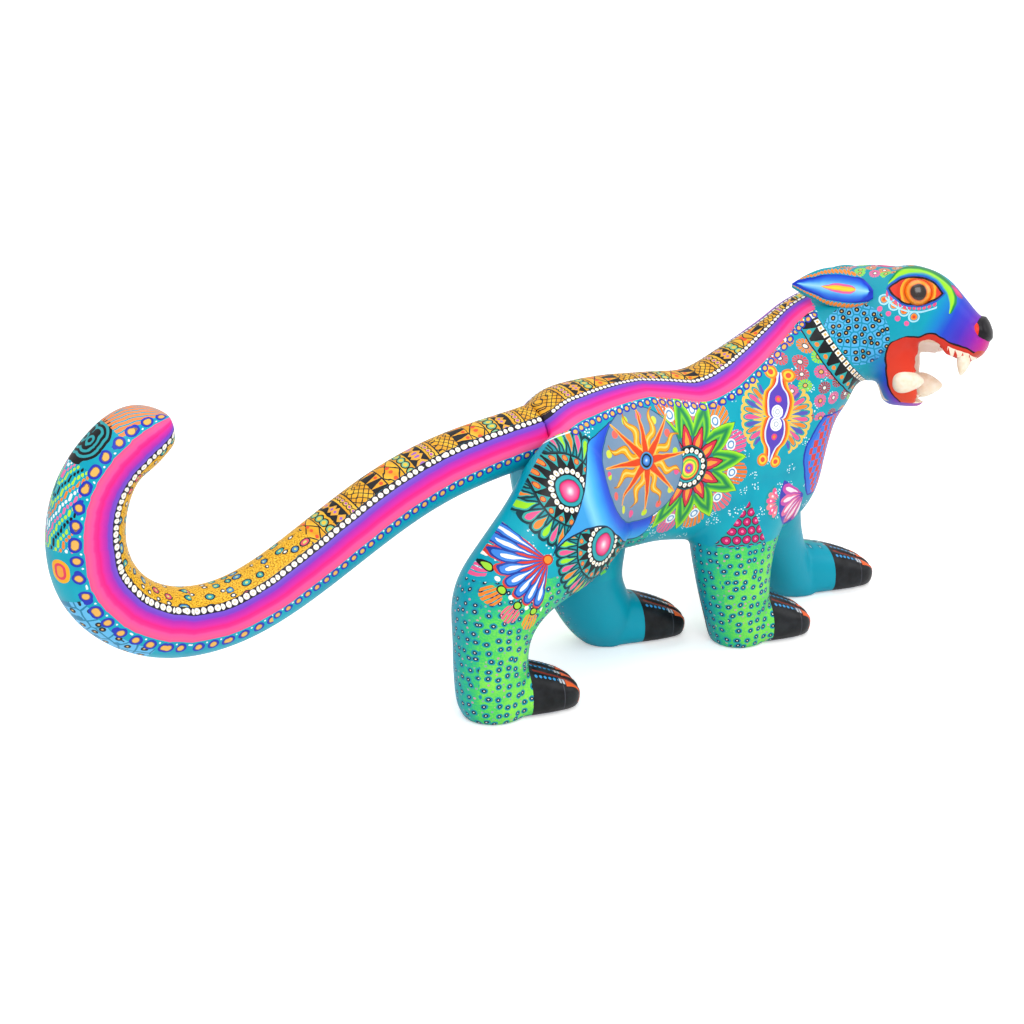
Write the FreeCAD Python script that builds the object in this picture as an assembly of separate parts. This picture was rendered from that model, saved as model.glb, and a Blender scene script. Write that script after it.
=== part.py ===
"""Walking big cat in carved and painted wood, an alebrije figure, with a plug-in tail.

Frame: the origin is on the ground, at the middle of the right front sole. +X is the way
the body faces, +Y is the figure's left and +Z is up. All lengths are in millimetres.
The pieces are laid out round a point on the middle line of the trunk and moved at the end.
"""
import FreeCAD, Part
import math
import os

Vector = FreeCAD.Vector

# ---- Driving dimensions -----------------------------------------------------------

RIGHT_FRONT_SOLE = Vector(18, -12, 0)   # the frame's origin, seen from the layout point
BACK_HEIGHT = 138.0        # ground to the top of the back
TRUNK_HEIGHT = 81.0        # top of the back to the belly
TRUNK_WIDTH = 60.0         # across the ribs
LEG_THICKNESS = 34.0       # lower leg, front to back
PAW_WIDTH = 31.0
PAW_HEIGHT = 22.0          # top of the paw where it leaves the leg
PAW_TURN = -10.0           # all four paws point a little to the right, in degrees

HEAD_TURN = -45.0          # the head looks to its right, in degrees
HEAD_ROLL = 12.0           # and tips its left side down
HEAD_ORIGIN = Vector(82, -16, 152.5)      # middle of the skull, between the ears
HEAD_WIDTH = 52.0          # across the cheekbones
MUZZLE_WIDTH = 28.0

TAIL_THICKNESS = 27.0      # where the tail meets the rump
TAIL_JOINT = Vector(-93, 0, 119.5)      # centre of the tail's joint face
TAIL_SLOPE = 9.0          # the peg points this far below the horizontal, in degrees
PEG_DIAMETER = 9.0         # dowel that carries the tail
PEG_DEPTH = 26.0           # length of peg in the rump, and again in the tail
PEG_BEVEL = 0.8
PEG_PLAY = 0.05            # radial clearance round the peg
END_PLAY = 1.0             # air past each end of the peg
JOINT_GAP = 0.1            # between the tail's end face and the rump's
SWEEP_ROOM = 2.0           # the rump stays this far clear of the turning root of the tail
SWEEP_LENGTH = 40.0

UPPER_FANG_DIAMETER = 6.0
LOWER_FANG_DIAMETER = 12.0
JAW_TWIST = 7.0            # the left lower fang sits this much further out than the right one
EYE_DIAMETER = 13.0
EYE_CURVE = 8.5            # radius of the dome
EYE_BULGE = 3.5            # height of the dome over its rim
EYE_DEPTH = 4.0            # shank in the skull
TENON_DIAMETER = 6.0
TENON_DEPTH = 13.0
GLUE_GAP = 0.05            # glue line round a shank or tenon
EAR_LENGTH = 37.0
EAR_HEIGHT = 19.0
EAR_THICKNESS = 6.0

RING_POINTS = 16           # points that carry one smooth cross-section
STEPS_PER_SPAN = 3         # sections from one station to the next
LOFT_DEGREE = 3
RIGHT = -1
LEFT = 1


# ---- Geometry helpers -------------------------------------------------------------

def unit(vector):
    """Same direction, length one."""
    copy = Vector(vector)
    copy.normalize()
    return copy


def ring(centre, side, up, half_width, above, below, squareness=2.0):
    """Closed smooth wire: a superellipse with its own height above and below the centre.

    It starts at the lowest point, which keeps the seam of a loft on its underside.
    """
    points = []
    for index in range(RING_POINTS):
        angle = 2 * math.pi * index / RING_POINTS - math.pi / 2
        cosine = math.cos(angle)
        sine = math.sin(angle)
        across = math.copysign(abs(cosine) ** (2 / squareness), cosine) * half_width
        height = math.copysign(abs(sine) ** (2 / squareness), sine)
        height = height * (above if sine > 0 else below)
        points.append(centre + side * across + up * height)
    curve = Part.BSplineCurve()
    curve.interpolate(points, PeriodicFlag=True)
    return Part.Wire([curve.toShape()])


def loft(rings):
    """Closed solid through a list of rings."""
    return Part.makeLoft(rings, True, False, False, LOFT_DEGREE)


def blend(before, start, end, after, share):
    """Catmull-Rom blend of one value between start and end."""
    slope_start = (end - before) / 2
    slope_end = (after - start) / 2
    cubic = 2 * share ** 3 - 3 * share ** 2
    value = (cubic + 1) * start - cubic * end
    value += (share ** 3 - 2 * share ** 2 + share) * slope_start
    return value + (share ** 3 - share ** 2) * slope_end


def smooth_stations(stations):
    """Stations with extra ones blended in between, so that a loft can't swing wide of them."""
    last = len(stations) - 1
    dense = []
    for index in range(last):
        near = [stations[max(index - 1, 0)], stations[index], stations[index + 1],
                stations[min(index + 2, last)]]
        for step in range(STEPS_PER_SPAN):
            share = step / STEPS_PER_SPAN
            dense.append([blend(*values, share) for values in zip(*near)])
    dense.append(list(stations[last]))
    return dense


def limb(stations, squareness=2.0):
    """Solid round a path: x, y, z, tilt and turn of the section, half width, half height.

    A section at tilt 0 and turn 0 stands across +X. Tilt leans it back, so that the path
    climbs, and turn swings it towards the left, both in degrees.
    """
    rings = []
    for x, y, z, tilt, turn, half_width, half_height in smooth_stations(stations):
        rise = math.radians(tilt)
        yaw = math.radians(turn)
        level = Vector(math.cos(yaw), math.sin(yaw), 0)
        side = Vector(-math.sin(yaw), math.cos(yaw), 0)
        forward = level * math.cos(rise) + Vector(0, 0, math.sin(rise))
        rings.append(ring(Vector(x, y, z), side, forward.cross(side), half_width, half_height,
                          half_height, squareness))
    return loft(rings)


def fuse_all(solids):
    """One solid from several that overlap."""
    joined = solids[0]
    for solid in solids[1:]:
        joined = joined.fuse(solid)
    return joined


def head_axes():
    """Forward, left and up directions of the turned head."""
    yaw = math.radians(HEAD_TURN)
    roll = math.radians(HEAD_ROLL)
    forward = Vector(math.cos(yaw), math.sin(yaw), 0)
    level = Vector(-math.sin(yaw), math.cos(yaw), 0)
    left = level * math.cos(roll) - Vector(0, 0, math.sin(roll))
    return forward, left, forward.cross(left)


def in_head(along, across, height):
    """Point given along, to the left of and above the middle of the skull."""
    forward, left, up = head_axes()
    return HEAD_ORIGIN + forward * along + left * across + up * height


def head_ring(along, top, bottom, half_width, squareness=2.2):
    """Ring across the head from one height to another."""
    forward, left, up = head_axes()
    half = (top - bottom) / 2
    return ring(in_head(along, 0, bottom + half), left, up, half_width, half, half, squareness)


# ---- Body: trunk, neck, head and legs, carved from one log ------------------------------

def trunk_and_neck():
    """Barrel from the rump to the shoulders, then up the neck to the back of the skull."""
    middle = BACK_HEIGHT - TRUNK_HEIGHT / 2
    half_height = TRUNK_HEIGHT / 2
    half_width = TRUNK_WIDTH / 2
    stations = [
        # x, y, z, tilt, turn, half width, half height
        (-98, 0, middle + 6, 0, 0, half_width * 0.45, half_height * 0.50),
        (-93, 0, middle + 4, 0, 0, half_width * 0.78, half_height * 0.76),
        (-80, 0, middle + 2, 0, 0, half_width * 1.02, half_height * 0.97),
        (-56, 0, middle + 1, 0, 0, half_width * 1.06, half_height * 1.03),
        (-30, 0, middle, 0, 0, half_width, half_height * 1.01),
        (-6, 0, middle - 3, 3, 0, half_width * 0.97, half_height * 1.05),
        (18, 0, middle - 3, 10, 0, half_width * 1.0, half_height * 1.22),
        (38, 0, middle + 6, 20, 0, half_width * 1.0, half_height * 1.18),
        (49, -3, middle + 28, 27, -6, half_width * 0.95, half_height * 0.82),
        (63, -8, middle + 46, 36, -16, half_width * 0.88, half_height * 0.65),
        (77, -15, middle + 53, 26, -32, half_width * 0.78, half_height * 0.58),
    ]
    return limb(stations)


def leg(stations):
    """Solid up one leg: x, y, z, tilt of the section, half width, half depth."""
    return limb([(x, y, z, tilt, 0, wide, deep) for x, y, z, tilt, wide, deep in stations])


def paw(heel_x, heel_y, length):
    """Low rounded foot, from under the leg to the tips of the toes."""
    yaw = math.radians(PAW_TURN)
    forward = Vector(math.cos(yaw), math.sin(yaw), 0)
    side = Vector(-math.sin(yaw), math.cos(yaw), 0)
    half_width = PAW_WIDTH / 2
    widest = PAW_HEIGHT * 0.36
    rings = []
    for part_way, wide, high in [(0, 0.6, 0.75), (0.15, 0.92, 1.1), (0.45, 1.0, 1.05),
                                 (0.75, 1.0, 0.80), (0.92, 0.85, 0.60), (1.0, 0.5, 0.42)]:
        centre = Vector(heel_x, heel_y, widest) + forward * (length * part_way)
        rings.append(ring(centre, side, Vector(0, 0, 1), half_width * wide,
                          PAW_HEIGHT * high - widest, widest * 1.25, 2.4))
    return loft(rings)


def right_hind_leg():
    """Pushes off behind the body; its haunch wraps the rump."""
    half = LEG_THICKNESS / 2
    stations = [
        (-130, -26, -4, -90, half * 0.62, half * 0.66),
        (-130, -27, 2, -90, half * 0.86, half * 0.90),
        (-131, -27, 11, -90, half * 0.95, half * 1.00),
        (-132, -28, 36, -95, half * 0.98, half * 1.04),
        (-126, -29, 57, -112, half * 1.12, half * 1.38),
        (-101, -27, 77, -132, half * 1.25, half * 1.68),
        (-78, -19, 95, -146, half * 1.2, half * 1.95),
        (-58, -8, 101, -155, half * 0.9, half * 1.6),
    ]
    return fuse_all([leg(stations), paw(-140, -23, 50)])


def left_hind_leg():
    """Swings forward under the belly, heel just off the ground."""
    half = LEG_THICKNESS / 2
    stations = [
        (-37, 20, 4, -48, half * 0.80, half * 0.76),
        (-46, 19, 16, -58, half * 0.98, half * 0.98),
        (-54, 19, 32, -75, half * 1.02, half * 1.12),
        (-58, 18, 54, -90, half * 1.15, half * 1.4),
        (-62, 16, 77, -95, half * 1.1, half * 1.7),
        (-64, 14, 97, -100, half * 0.9, half * 1.8),
    ]
    return fuse_all([leg(stations), paw(-51, 22, 49)])


def right_front_leg():
    """Stands almost upright under the shoulder."""
    half = LEG_THICKNESS / 2
    stations = [
        (15, -12, -4, -88, half * 0.60, half * 0.60),
        (15, -12, 2, -88, half * 0.82, half * 0.82),
        (14, -12, 11, -86, half * 0.90, half * 0.92),
        (10, -13, 38, -86, half * 1.0, half * 1.14),
        (11, -13, 60, -92, half * 1.08, half * 1.42),
        (20, -12, 86, -100, half * 1.05, half * 1.72),
        (26, -9, 108, -105, half * 0.9, half * 1.45),
    ]
    return fuse_all([leg(stations), paw(4, -8, 48)])


def left_front_leg():
    """Reaches forward in the stride."""
    half = LEG_THICKNESS / 2
    stations = [
        (82, 27, 1, -40, half * 0.80, half * 0.60),
        (71, 26, 12, -52, half * 0.92, half * 0.82),
        (60, 24, 31, -62, half * 1.0, half * 0.98),
        (50, 20, 53, -68, half * 1.08, half * 1.25),
        (39, 15, 80, -72, half * 1.0, half * 1.5),
        (32, 11, 100, -76, half * 0.9, half * 1.35),
    ]
    return fuse_all([leg(stations), paw(70, 29, 50)])


def skull():
    """Rounded cranium with heavy cheeks, down to the hinge of the jaw."""
    half = HEAD_WIDTH / 2
    stations = [
        (-26, 18, -14, half * 0.72),
        (-16, 23, -24, half * 0.95),
        (-2, 26, -29, half * 1.02),
        (12, 26, -27, half * 1.0),
        (22, 25, -18, half * 0.86),
        (29, 22, -7, half * 0.62),
    ]
    return loft([head_ring(*station) for station in smooth_stations(stations)])


def muzzle():
    """Brow, bridge of the nose, upper lip and nose."""
    half = MUZZLE_WIDTH / 2
    stations = [
        (4, 22, -6, half * 1.35),
        (16, 27, -12, half * 1.58),
        (28, 25.5, -19, half * 1.50),
        (37, 21, -17.5, half * 1.25),
        (44, 14, -17.5, half * 1.10),
        (50, 7.5, -16.5, half * 1.0),
        (55, 3, -13, half * 0.80),
        (57.5, -2, -8.5, half * 0.45),
    ]
    return loft([head_ring(*station, squareness=2.4) for station in smooth_stations(stations)])


def lower_jaw():
    """Jaw dropped wide open, so that it hangs from the cheeks."""
    half = MUZZLE_WIDTH / 2
    forward, left, up = head_axes()
    rings = []
    stations = [(-11, -3, 26, 1.50), (-18, 0, 28, 1.42), (-25.5, 5, 29.5, 1.30),
                (-32.5, 8, 30.5, 1.15), (-37, 9.5, 29.5, 0.90), (-39.5, 13, 27, 0.5)]
    for height, rear, front, wide in smooth_stations(stations):
        middle = (rear + front) / 2
        reach = (front - rear) / 2
        rings.append(ring(in_head(middle, 0, height), left, forward, half * wide, reach, reach, 2.6))
    return loft(rings)


def mouth_opening(hand):
    """Space between the jaws on one side; it's higher on the right, the side that's shown."""
    forward, left, up = head_axes()
    width = HEAD_WIDTH * 0.7
    front = [(48, -17), (66, -20), (66, -60), (30.6, -60), (30.6, -30), (26.5, -24)]
    if hand == RIGHT:
        edge = [(26.5, -20), (25.5, -8), (31, -6.4), (35.5, -8.5), (38, -13)]
    else:
        edge = [(26.5, -20), (37.5, -12.5)]
    outline = front + edge
    corners = [in_head(along, 0, height) for along, height in outline]
    face = Part.Face(Part.makePolygon(corners + corners[:1]))
    return face.extrude(left * (width * hand))


def mouth_cavity():
    """Hollow between the cheek walls, behind the opening."""
    half = MUZZLE_WIDTH / 2
    forward, left, up = head_axes()
    front = 40
    rings = []
    stations = [(-9, 20, 0.75), (-15, 14, 0.95), (-24, 13, 1.0), (-32, 16, 0.9), (-37, 20, 0.7)]
    for height, rear, wide in stations:
        middle = (rear + front) / 2
        reach = (front - rear) / 2
        rings.append(ring(in_head(middle, 0, height), left, forward, half * wide, reach, reach, 2.8))
    return loft(rings)


def head():
    """Skull, muzzle and jaw with the mouth cut out between them."""
    solid = fuse_all([skull(), muzzle(), lower_jaw()])
    return solid.cut(mouth_opening(RIGHT)).cut(mouth_opening(LEFT)).cut(mouth_cavity())


def tail_axis():
    """Direction that the peg points, out of the rump."""
    slope = math.radians(TAIL_SLOPE)
    return Vector(-math.cos(slope), 0, -math.sin(slope))


def tail_frame():
    """Side and up directions across the peg."""
    side = Vector(0, 1, 0)
    return side, unit(side.cross(tail_axis()))


def tail_stump():
    """Short tapering root on the rump that ends in the joint face."""
    side, up = tail_frame()
    radius = TAIL_THICKNESS / 2
    rings = []
    for back, drop, size in [(34, 12, 1.95), (18, 5, 1.50), (8, 1.5, 1.2), (0, 0, 1.0)]:
        centre = TAIL_JOINT - tail_axis() * back - up * drop
        rings.append(ring(centre, side, up, radius * size, radius * size, radius * size))
    return loft(rings)


def joint_space():
    """Everything past the joint face that the tail's root may sweep."""
    radius = TAIL_THICKNESS / 2 + SWEEP_ROOM
    return Part.makeCylinder(radius, SWEEP_LENGTH, TAIL_JOINT, tail_axis())


def peg_hole(extra):
    """Round hole for the peg, through the joint face, both ways."""
    start = TAIL_JOINT - tail_axis() * (PEG_DEPTH + END_PLAY)
    return Part.makeCylinder(PEG_DIAMETER / 2 + extra, 2 * (PEG_DEPTH + END_PLAY), start, tail_axis())


def tail_peg():
    """Dowel with bevelled ends."""
    start = TAIL_JOINT - tail_axis() * PEG_DEPTH
    rod = Part.makeCylinder(PEG_DIAMETER / 2, 2 * PEG_DEPTH, start, tail_axis())
    rims = [edge for edge in rod.Edges if abs(edge.Length - math.pi * PEG_DIAMETER) < 0.01]
    return rod.makeChamfer(PEG_BEVEL, rims)


def tail():
    """Long tail that sinks, then curls up and over at its end."""
    side = Vector(0, 1, 0)
    radius = TAIL_THICKNESS / 2
    stations = [
        # x, z, thickness relative to the root
        (-138, 111.5, 1.05), (-165, 102.0, 1.09), (-193, 87.5, 1.10), (-221, 72.5, 1.08),
        (-249, 63.5, 1.08), (-278, 66.5, 1.15), (-299, 83.0, 1.23), (-306, 108.0, 1.21),
        (-300, 131.0, 1.12), (-288, 144.5, 1.06), (-275, 148.5, 0.88), (-267, 148.5, 0.45),
    ]
    start = TAIL_JOINT + tail_axis() * JOINT_GAP
    path = [start, TAIL_JOINT + tail_axis() * 12]
    sizes = [1.0, 1.0]
    for x, z, size in stations:
        path.append(Vector(x, 0, z))
        sizes.append(size)
    curve = Part.BSplineCurve()
    curve.interpolate(path, InitialTangent=tail_axis(), FinalTangent=Vector(1, 0, 0))
    rings = []
    for point, size in zip(path, sizes):
        tangent = unit(curve.tangent(curve.parameter(point))[0])
        up = unit(side.cross(tangent))
        rings.append(ring(point, side, up, radius * size, radius * size, radius * size))
    return loft(rings)


# ---- Glued inserts ------------------------------------------------------------------

def crown(base, tip, diameter):
    """Pointed tooth with a rounded root, a full waist and a rounded tip."""
    direction = unit(tip - base)
    across = unit(direction.cross(Vector(0, 0, 1)))
    height = (tip - base).Length
    rings = []
    profile = [(0, 0.45), (0.07, 0.78), (0.2, 0.97), (0.38, 1.0), (0.66, 0.76), (0.9, 0.38), (1.0, 0.12)]
    for part_way, size in profile:
        centre = base + direction * (height * part_way)
        half = diameter / 2 * size
        rings.append(ring(centre, across, direction.cross(across), half, half, half))
    return loft(rings)


def upper_fang_place(hand):
    """Gum and tip points of the canine under the front of the upper jaw."""
    base = in_head(47, hand * MUZZLE_WIDTH * 0.32, -12)
    tip = in_head(46, hand * MUZZLE_WIDTH * 0.29, -23)
    return base, tip


def lower_fang_place(hand):
    """Gum and tip points of the big canine of the dropped jaw, which points forward."""
    reach = JAW_TWIST if hand == LEFT else 0
    base = in_head(15 + reach, hand * MUZZLE_WIDTH * 0.52, -27 - reach / 2)
    tip = in_head(29.5 + reach, hand * MUZZLE_WIDTH * 0.49, -26.5 - reach / 2)
    return base, tip


def upper_fang(hand):
    """Small upper canine; its wide end is sunk in the gum."""
    base, tip = upper_fang_place(hand)
    return crown(base, tip, UPPER_FANG_DIAMETER)


def lower_fang(hand):
    """Big lower canine; its wide end is sunk in the wall of the jaw."""
    base, tip = lower_fang_place(hand)
    return crown(base, tip, LOWER_FANG_DIAMETER)


def eye_place(hand):
    """Rim centre of one eye and the way that it looks."""
    forward, left, up = head_axes()
    return in_head(24, hand * 18, 15), unit(left * hand + forward * 0.25 + up * 0.25)


def eye(hand):
    """Round button with a domed front and a straight shank."""
    centre, outward = eye_place(hand)
    dome = Part.makeSphere(EYE_CURVE, centre - outward * (EYE_CURVE - EYE_BULGE))
    shank = Part.makeCylinder(EYE_DIAMETER / 2, EYE_DEPTH + EYE_BULGE, centre - outward * EYE_DEPTH, outward)
    return dome.common(shank)


def eye_socket(hand):
    """Blind round hole for the shank of one eye."""
    centre, outward = eye_place(hand)
    radius = EYE_DIAMETER / 2 + GLUE_GAP
    return Part.makeCylinder(radius, EYE_DEPTH + 10, centre - outward * EYE_DEPTH, outward)


def ear_root(hand):
    """Where the tenon leaves the ear, the way it points and the way the ear lies."""
    forward, left, up = head_axes()
    base = in_head(3, hand * 25, 13)
    tip = in_head(3 - EAR_LENGTH, hand * 31, 15)
    along = unit(tip - base)
    outward = unit(left * hand - along * (left * hand).dot(along))
    return base, along, outward


def ear(hand):
    """Leaf-shaped ear, laid back, with a round tenon into the skull."""
    base, along, outward = ear_root(hand)
    high = Vector(0, 0, 1)
    rings = []
    for part_way, tall, thick in [(-0.02, 0.25, 0.5), (0.10, 0.66, 0.9), (0.32, 0.98, 1.0),
                                  (0.58, 0.92, 0.9), (0.84, 0.50, 0.7), (1.0, 0.10, 0.3)]:
        centre = base + along * (EAR_LENGTH * part_way) + high * (1.5 * math.sin(math.pi * part_way))
        rings.append(ring(centre, outward, high, EAR_THICKNESS / 2 * thick,
                          EAR_HEIGHT / 2 * tall, EAR_HEIGHT / 2 * tall))
    root = base + along * (EAR_LENGTH * 0.2)
    tenon = Part.makeCylinder(TENON_DIAMETER / 2, TENON_DEPTH, root, outward * -1)
    return loft(rings).fuse(tenon)


def ear_socket(hand):
    """Blind round hole for the tenon of one ear."""
    base, along, outward = ear_root(hand)
    root = base + along * (EAR_LENGTH * 0.2) + outward * TENON_DEPTH
    return Part.makeCylinder(TENON_DIAMETER / 2 + GLUE_GAP, 2 * TENON_DEPTH + 0.5, root, outward * -1)


def tongue():
    """Tongue lying along the inside of the dropped jaw."""
    forward, left, up = head_axes()
    rings = []
    for height, along, wide, thick in [(-15, 17, 0.30, 2.0), (-19, 18.5, 0.45, 3.0), (-26, 20, 0.50, 3.2),
                                       (-31, 22.5, 0.42, 2.6), (-34, 25, 0.2, 1.4)]:
        rings.append(ring(in_head(along, 0, height), left, forward, MUZZLE_WIDTH / 2 * wide,
                          thick, thick))
    return loft(rings)


def ground():
    """Space under the floor."""
    size = 1000
    return Part.makeBox(size, size, size, Vector(-size / 2, -size / 2, -size))


def body():
    """Everything carved from the one log, with a hole for the peg, each eye and each ear."""
    solid = fuse_all([
        trunk_and_neck(), right_hind_leg(), left_hind_leg(), right_front_leg(), left_front_leg(),
        tail_stump(), head(),
    ])
    solid = solid.cut(joint_space()).cut(peg_hole(PEG_PLAY)).cut(ground())
    for hand in (RIGHT, LEFT):
        solid = solid.cut(eye_socket(hand)).cut(ear_socket(hand))
    return solid


def build():
    """Every piece by its node name."""
    return {
        "body": body(),
        "tail": tail().cut(peg_hole(PEG_PLAY)),
        "tail_peg": tail_peg(),
        "ear_right": ear(RIGHT),
        "ear_left": ear(LEFT),
        "eye_right": eye(RIGHT),
        "eye_left": eye(LEFT),
        "upper_fang_right": upper_fang(RIGHT),
        "upper_fang_left": upper_fang(LEFT),
        "lower_fang_right": lower_fang(RIGHT),
        "lower_fang_left": lower_fang(LEFT),
        "tongue": tongue(),
    }


os.makedirs("parts", exist_ok=True)
for node, shape in build().items():
    shape = shape.translated(RIGHT_FRONT_SOLE * -1)
    shape.exportStep("parts/" + node + ".step")
    print(node, "solids", len(shape.Solids), "valid", shape.isValid(), "volume", round(shape.Volume))
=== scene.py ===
"""Painted looks for the walking big cat figure: body, tail, ears, eyes, fangs and tongue.

The scene is in metres. Everything about paint and carving is in millimetres, and is put
down in three ways: on a flank by x and z, on the head by its own forward, left and up
directions, and on the back and the tail by how far along and how far down a point is.
"""

import math

import bmesh
import bpy
import numpy as np
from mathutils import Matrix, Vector


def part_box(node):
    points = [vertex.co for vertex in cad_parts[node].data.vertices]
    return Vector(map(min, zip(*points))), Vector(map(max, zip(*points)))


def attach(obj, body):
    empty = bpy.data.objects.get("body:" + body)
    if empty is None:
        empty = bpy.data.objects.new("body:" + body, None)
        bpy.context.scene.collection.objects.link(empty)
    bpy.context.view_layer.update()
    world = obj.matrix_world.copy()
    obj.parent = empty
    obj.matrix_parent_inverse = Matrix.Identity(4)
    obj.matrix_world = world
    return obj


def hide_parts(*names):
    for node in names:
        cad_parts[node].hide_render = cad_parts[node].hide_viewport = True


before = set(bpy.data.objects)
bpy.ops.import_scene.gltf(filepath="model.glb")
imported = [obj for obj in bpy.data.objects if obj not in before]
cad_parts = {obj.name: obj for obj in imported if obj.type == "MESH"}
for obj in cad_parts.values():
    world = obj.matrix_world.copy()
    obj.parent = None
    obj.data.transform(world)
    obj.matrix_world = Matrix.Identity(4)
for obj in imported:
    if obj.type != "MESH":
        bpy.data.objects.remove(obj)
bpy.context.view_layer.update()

MM = 0.001
TURN = 2 * math.pi

# ---- Shape of the painting, in millimetres ------------------------------------------

LAYOUT = np.array([18.0, -12.0, 0.0])   # the frame's origin, seen from the painting's own

BODY_VOXEL = 1.1
TAIL_VOXEL = 1.05
SMOOTH_ROUNDS = 6

EYE_FORWARD = 23.7         # eye centres ahead of and above the middle of the skull
EYE_UP = 14.6
FANG_FORWARD = 46.7        # the same for the upper fangs
FANG_DOWN = 17.3

LEFT_SHIFT = 25.0          # the left flank's painting lies this much further forward
BEAD_PITCH_BODY = 2.3
BEAD_PITCH_TAIL = 3.0
STRIPES_BODY = 11.6        # from the bead row to the end of the pink stripes
STRIPES_TAIL = 13.0
PAW_TURN = math.radians(-10)
PAW_HEELS = [(-140, -23), (-51, 22), (4, -8), (70, 29)]
PAW_LENGTH = 49.0
TOE_PITCH = 7.0
COLLAR_FORWARD = 0.787     # the collar's direction in the head: forward part and up part
COLLAR_UP = 0.617
TAIL_RADIUS = 14.5         # turns an angle round the tail into a length
TAIL_STEP = 5.0            # between the points of the tail's centreline
PANEL_REPEAT = 42.0        # length of one run of gold panels

VIEW_AZIMUTH = math.radians(-30)
VIEW_ELEVATION = math.radians(20)
VIEW_TARGET = (-0.1232, 0.012, 0.0836)    # metres
VIEW_LENS = 77.34
LAMP_TARGET = (-0.12, 0.01, 0.08)


# ---- Frame facts --------------------------------------------------------------------

def middle(node):
    """Centre of a CAD node's box, in the painting's millimetres."""
    low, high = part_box(node)
    return (np.array(low) + np.array(high)) / 2 / MM + LAYOUT


def unit(vector):
    """Same direction, length one."""
    return vector / np.linalg.norm(vector)


def head_frame():
    """Middle of the skull and the head's forward, left and up directions."""
    left = unit(middle("eye_left") - middle("eye_right"))
    eyes = (middle("eye_left") + middle("eye_right")) / 2
    fangs = (middle("upper_fang_left") + middle("upper_fang_right")) / 2
    along = FANG_FORWARD - EYE_FORWARD
    fall = FANG_DOWN + EYE_UP
    drop = fangs - eyes
    forward = unit(along * drop - fall * np.cross(left, drop))
    up = np.cross(forward, left)
    return eyes - EYE_FORWARD * forward - EYE_UP * up, forward, left, up


HEAD, FORWARD, LEFT, UP = head_frame()


# ---- Meshes -------------------------------------------------------------------------

def even_skin(node, name, voxel):
    """Copy of a CAD node with one even, smoothed skin."""
    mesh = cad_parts[node].data.copy()
    mesh.materials.clear()
    work = bmesh.new()
    work.from_mesh(mesh)
    bmesh.ops.remove_doubles(work, verts=work.verts, dist=1e-6)
    work.to_mesh(mesh)
    work.free()
    piece = bpy.data.objects.new(name, mesh)
    bpy.context.scene.collection.objects.link(piece)
    remesh = piece.modifiers.new("even", "REMESH")
    remesh.mode = "VOXEL"
    remesh.voxel_size = voxel * MM
    smooth = piece.modifiers.new("smooth", "SMOOTH")
    smooth.factor = 0.5
    smooth.iterations = SMOOTH_ROUNDS
    graph = bpy.context.evaluated_depsgraph_get()
    even = bpy.data.meshes.new_from_object(piece.evaluated_get(graph))
    piece.modifiers.clear()
    piece.data = even
    even.name = name
    even.polygons.foreach_set("use_smooth", [True] * len(even.polygons))
    return piece


def points_of(piece):
    """Vertex places in the painting's millimetres."""
    count = len(piece.data.vertices)
    flat = np.zeros(count * 3, np.float32)
    piece.data.vertices.foreach_get("co", flat)
    return flat.reshape(-1, 3).astype(float) / MM + LAYOUT


def normals_of(piece):
    """Vertex normals."""
    flat = np.zeros(len(piece.data.vertices) * 3, np.float32)
    piece.data.vertices.foreach_get("normal", flat)
    return flat.reshape(-1, 3).astype(float)


def move_points(piece, points):
    """Puts vertices at new places, in the painting's millimetres."""
    piece.data.vertices.foreach_set("co", ((points - LAYOUT) * MM).astype(np.float32).ravel())
    piece.data.update()


def keep_field(piece, name, values):
    """Stores one number per vertex, for the paint to read."""
    field = piece.data.attributes.new(name, "FLOAT", "POINT")
    field.data.foreach_set("value", np.asarray(values, np.float32))


def to_path(points, path):
    """Distance from each point to a path of straight pieces, and how far along it lies."""
    best = np.full(len(points), 1e9)
    along = np.zeros(len(points))
    travelled = 0.0
    for start, end in zip(path[:-1], path[1:]):
        span = end - start
        length = np.linalg.norm(span)
        share = np.clip((points - start) @ span / length ** 2, 0, 1)
        distance = np.linalg.norm(points - start - share[:, None] * span, axis=1)
        closer = distance < best
        best[closer] = distance[closer]
        along[closer] = (travelled + share * length)[closer]
        travelled += length
    return best, along


def head_points(places):
    """Points given by forward, left and up in the head."""
    return [HEAD + FORWARD * u + LEFT * v + UP * w for u, v, w in places]


# ---- Back and tail fields ---------------------------------------------------------------

def spine_y(x):
    """Where the middle of the back lies, sideways."""
    return np.interp(x, [38, 49, 63], [0, -3, -8])


def back_line(points):
    """Line along the top of the back, from the tail to the nape."""
    line = []
    for x in np.arange(-92, 62, 4.0):
        near = np.abs(points[:, 0] - x) < 2.5
        near &= np.abs(points[:, 1] - spine_y(x)) < 5
        line.append([x, spine_y(x), points[near, 2].max()])
    line = np.array(line)
    height = line[:, 2]
    for _ in range(3):
        height[1:-1] = (height[:-2] + 2 * height[1:-1] + height[2:]) / 4
    return line


def body_fields(piece):
    """Distances that the bands along the back follow."""
    points = points_of(piece)
    away, along = to_path(points, back_line(points))
    bead_line = np.interp(points[:, 0], [-75, -42, -14, 7, 26, 45], [10.6, 6.0, 10.0, 9.0, 5.5, 4.0])
    keep_field(piece, "along", along)
    keep_field(piece, "mid", away)
    keep_field(piece, "edge", away - bead_line)
    keep_field(piece, "stripe", (away - bead_line) / STRIPES_BODY)


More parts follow.
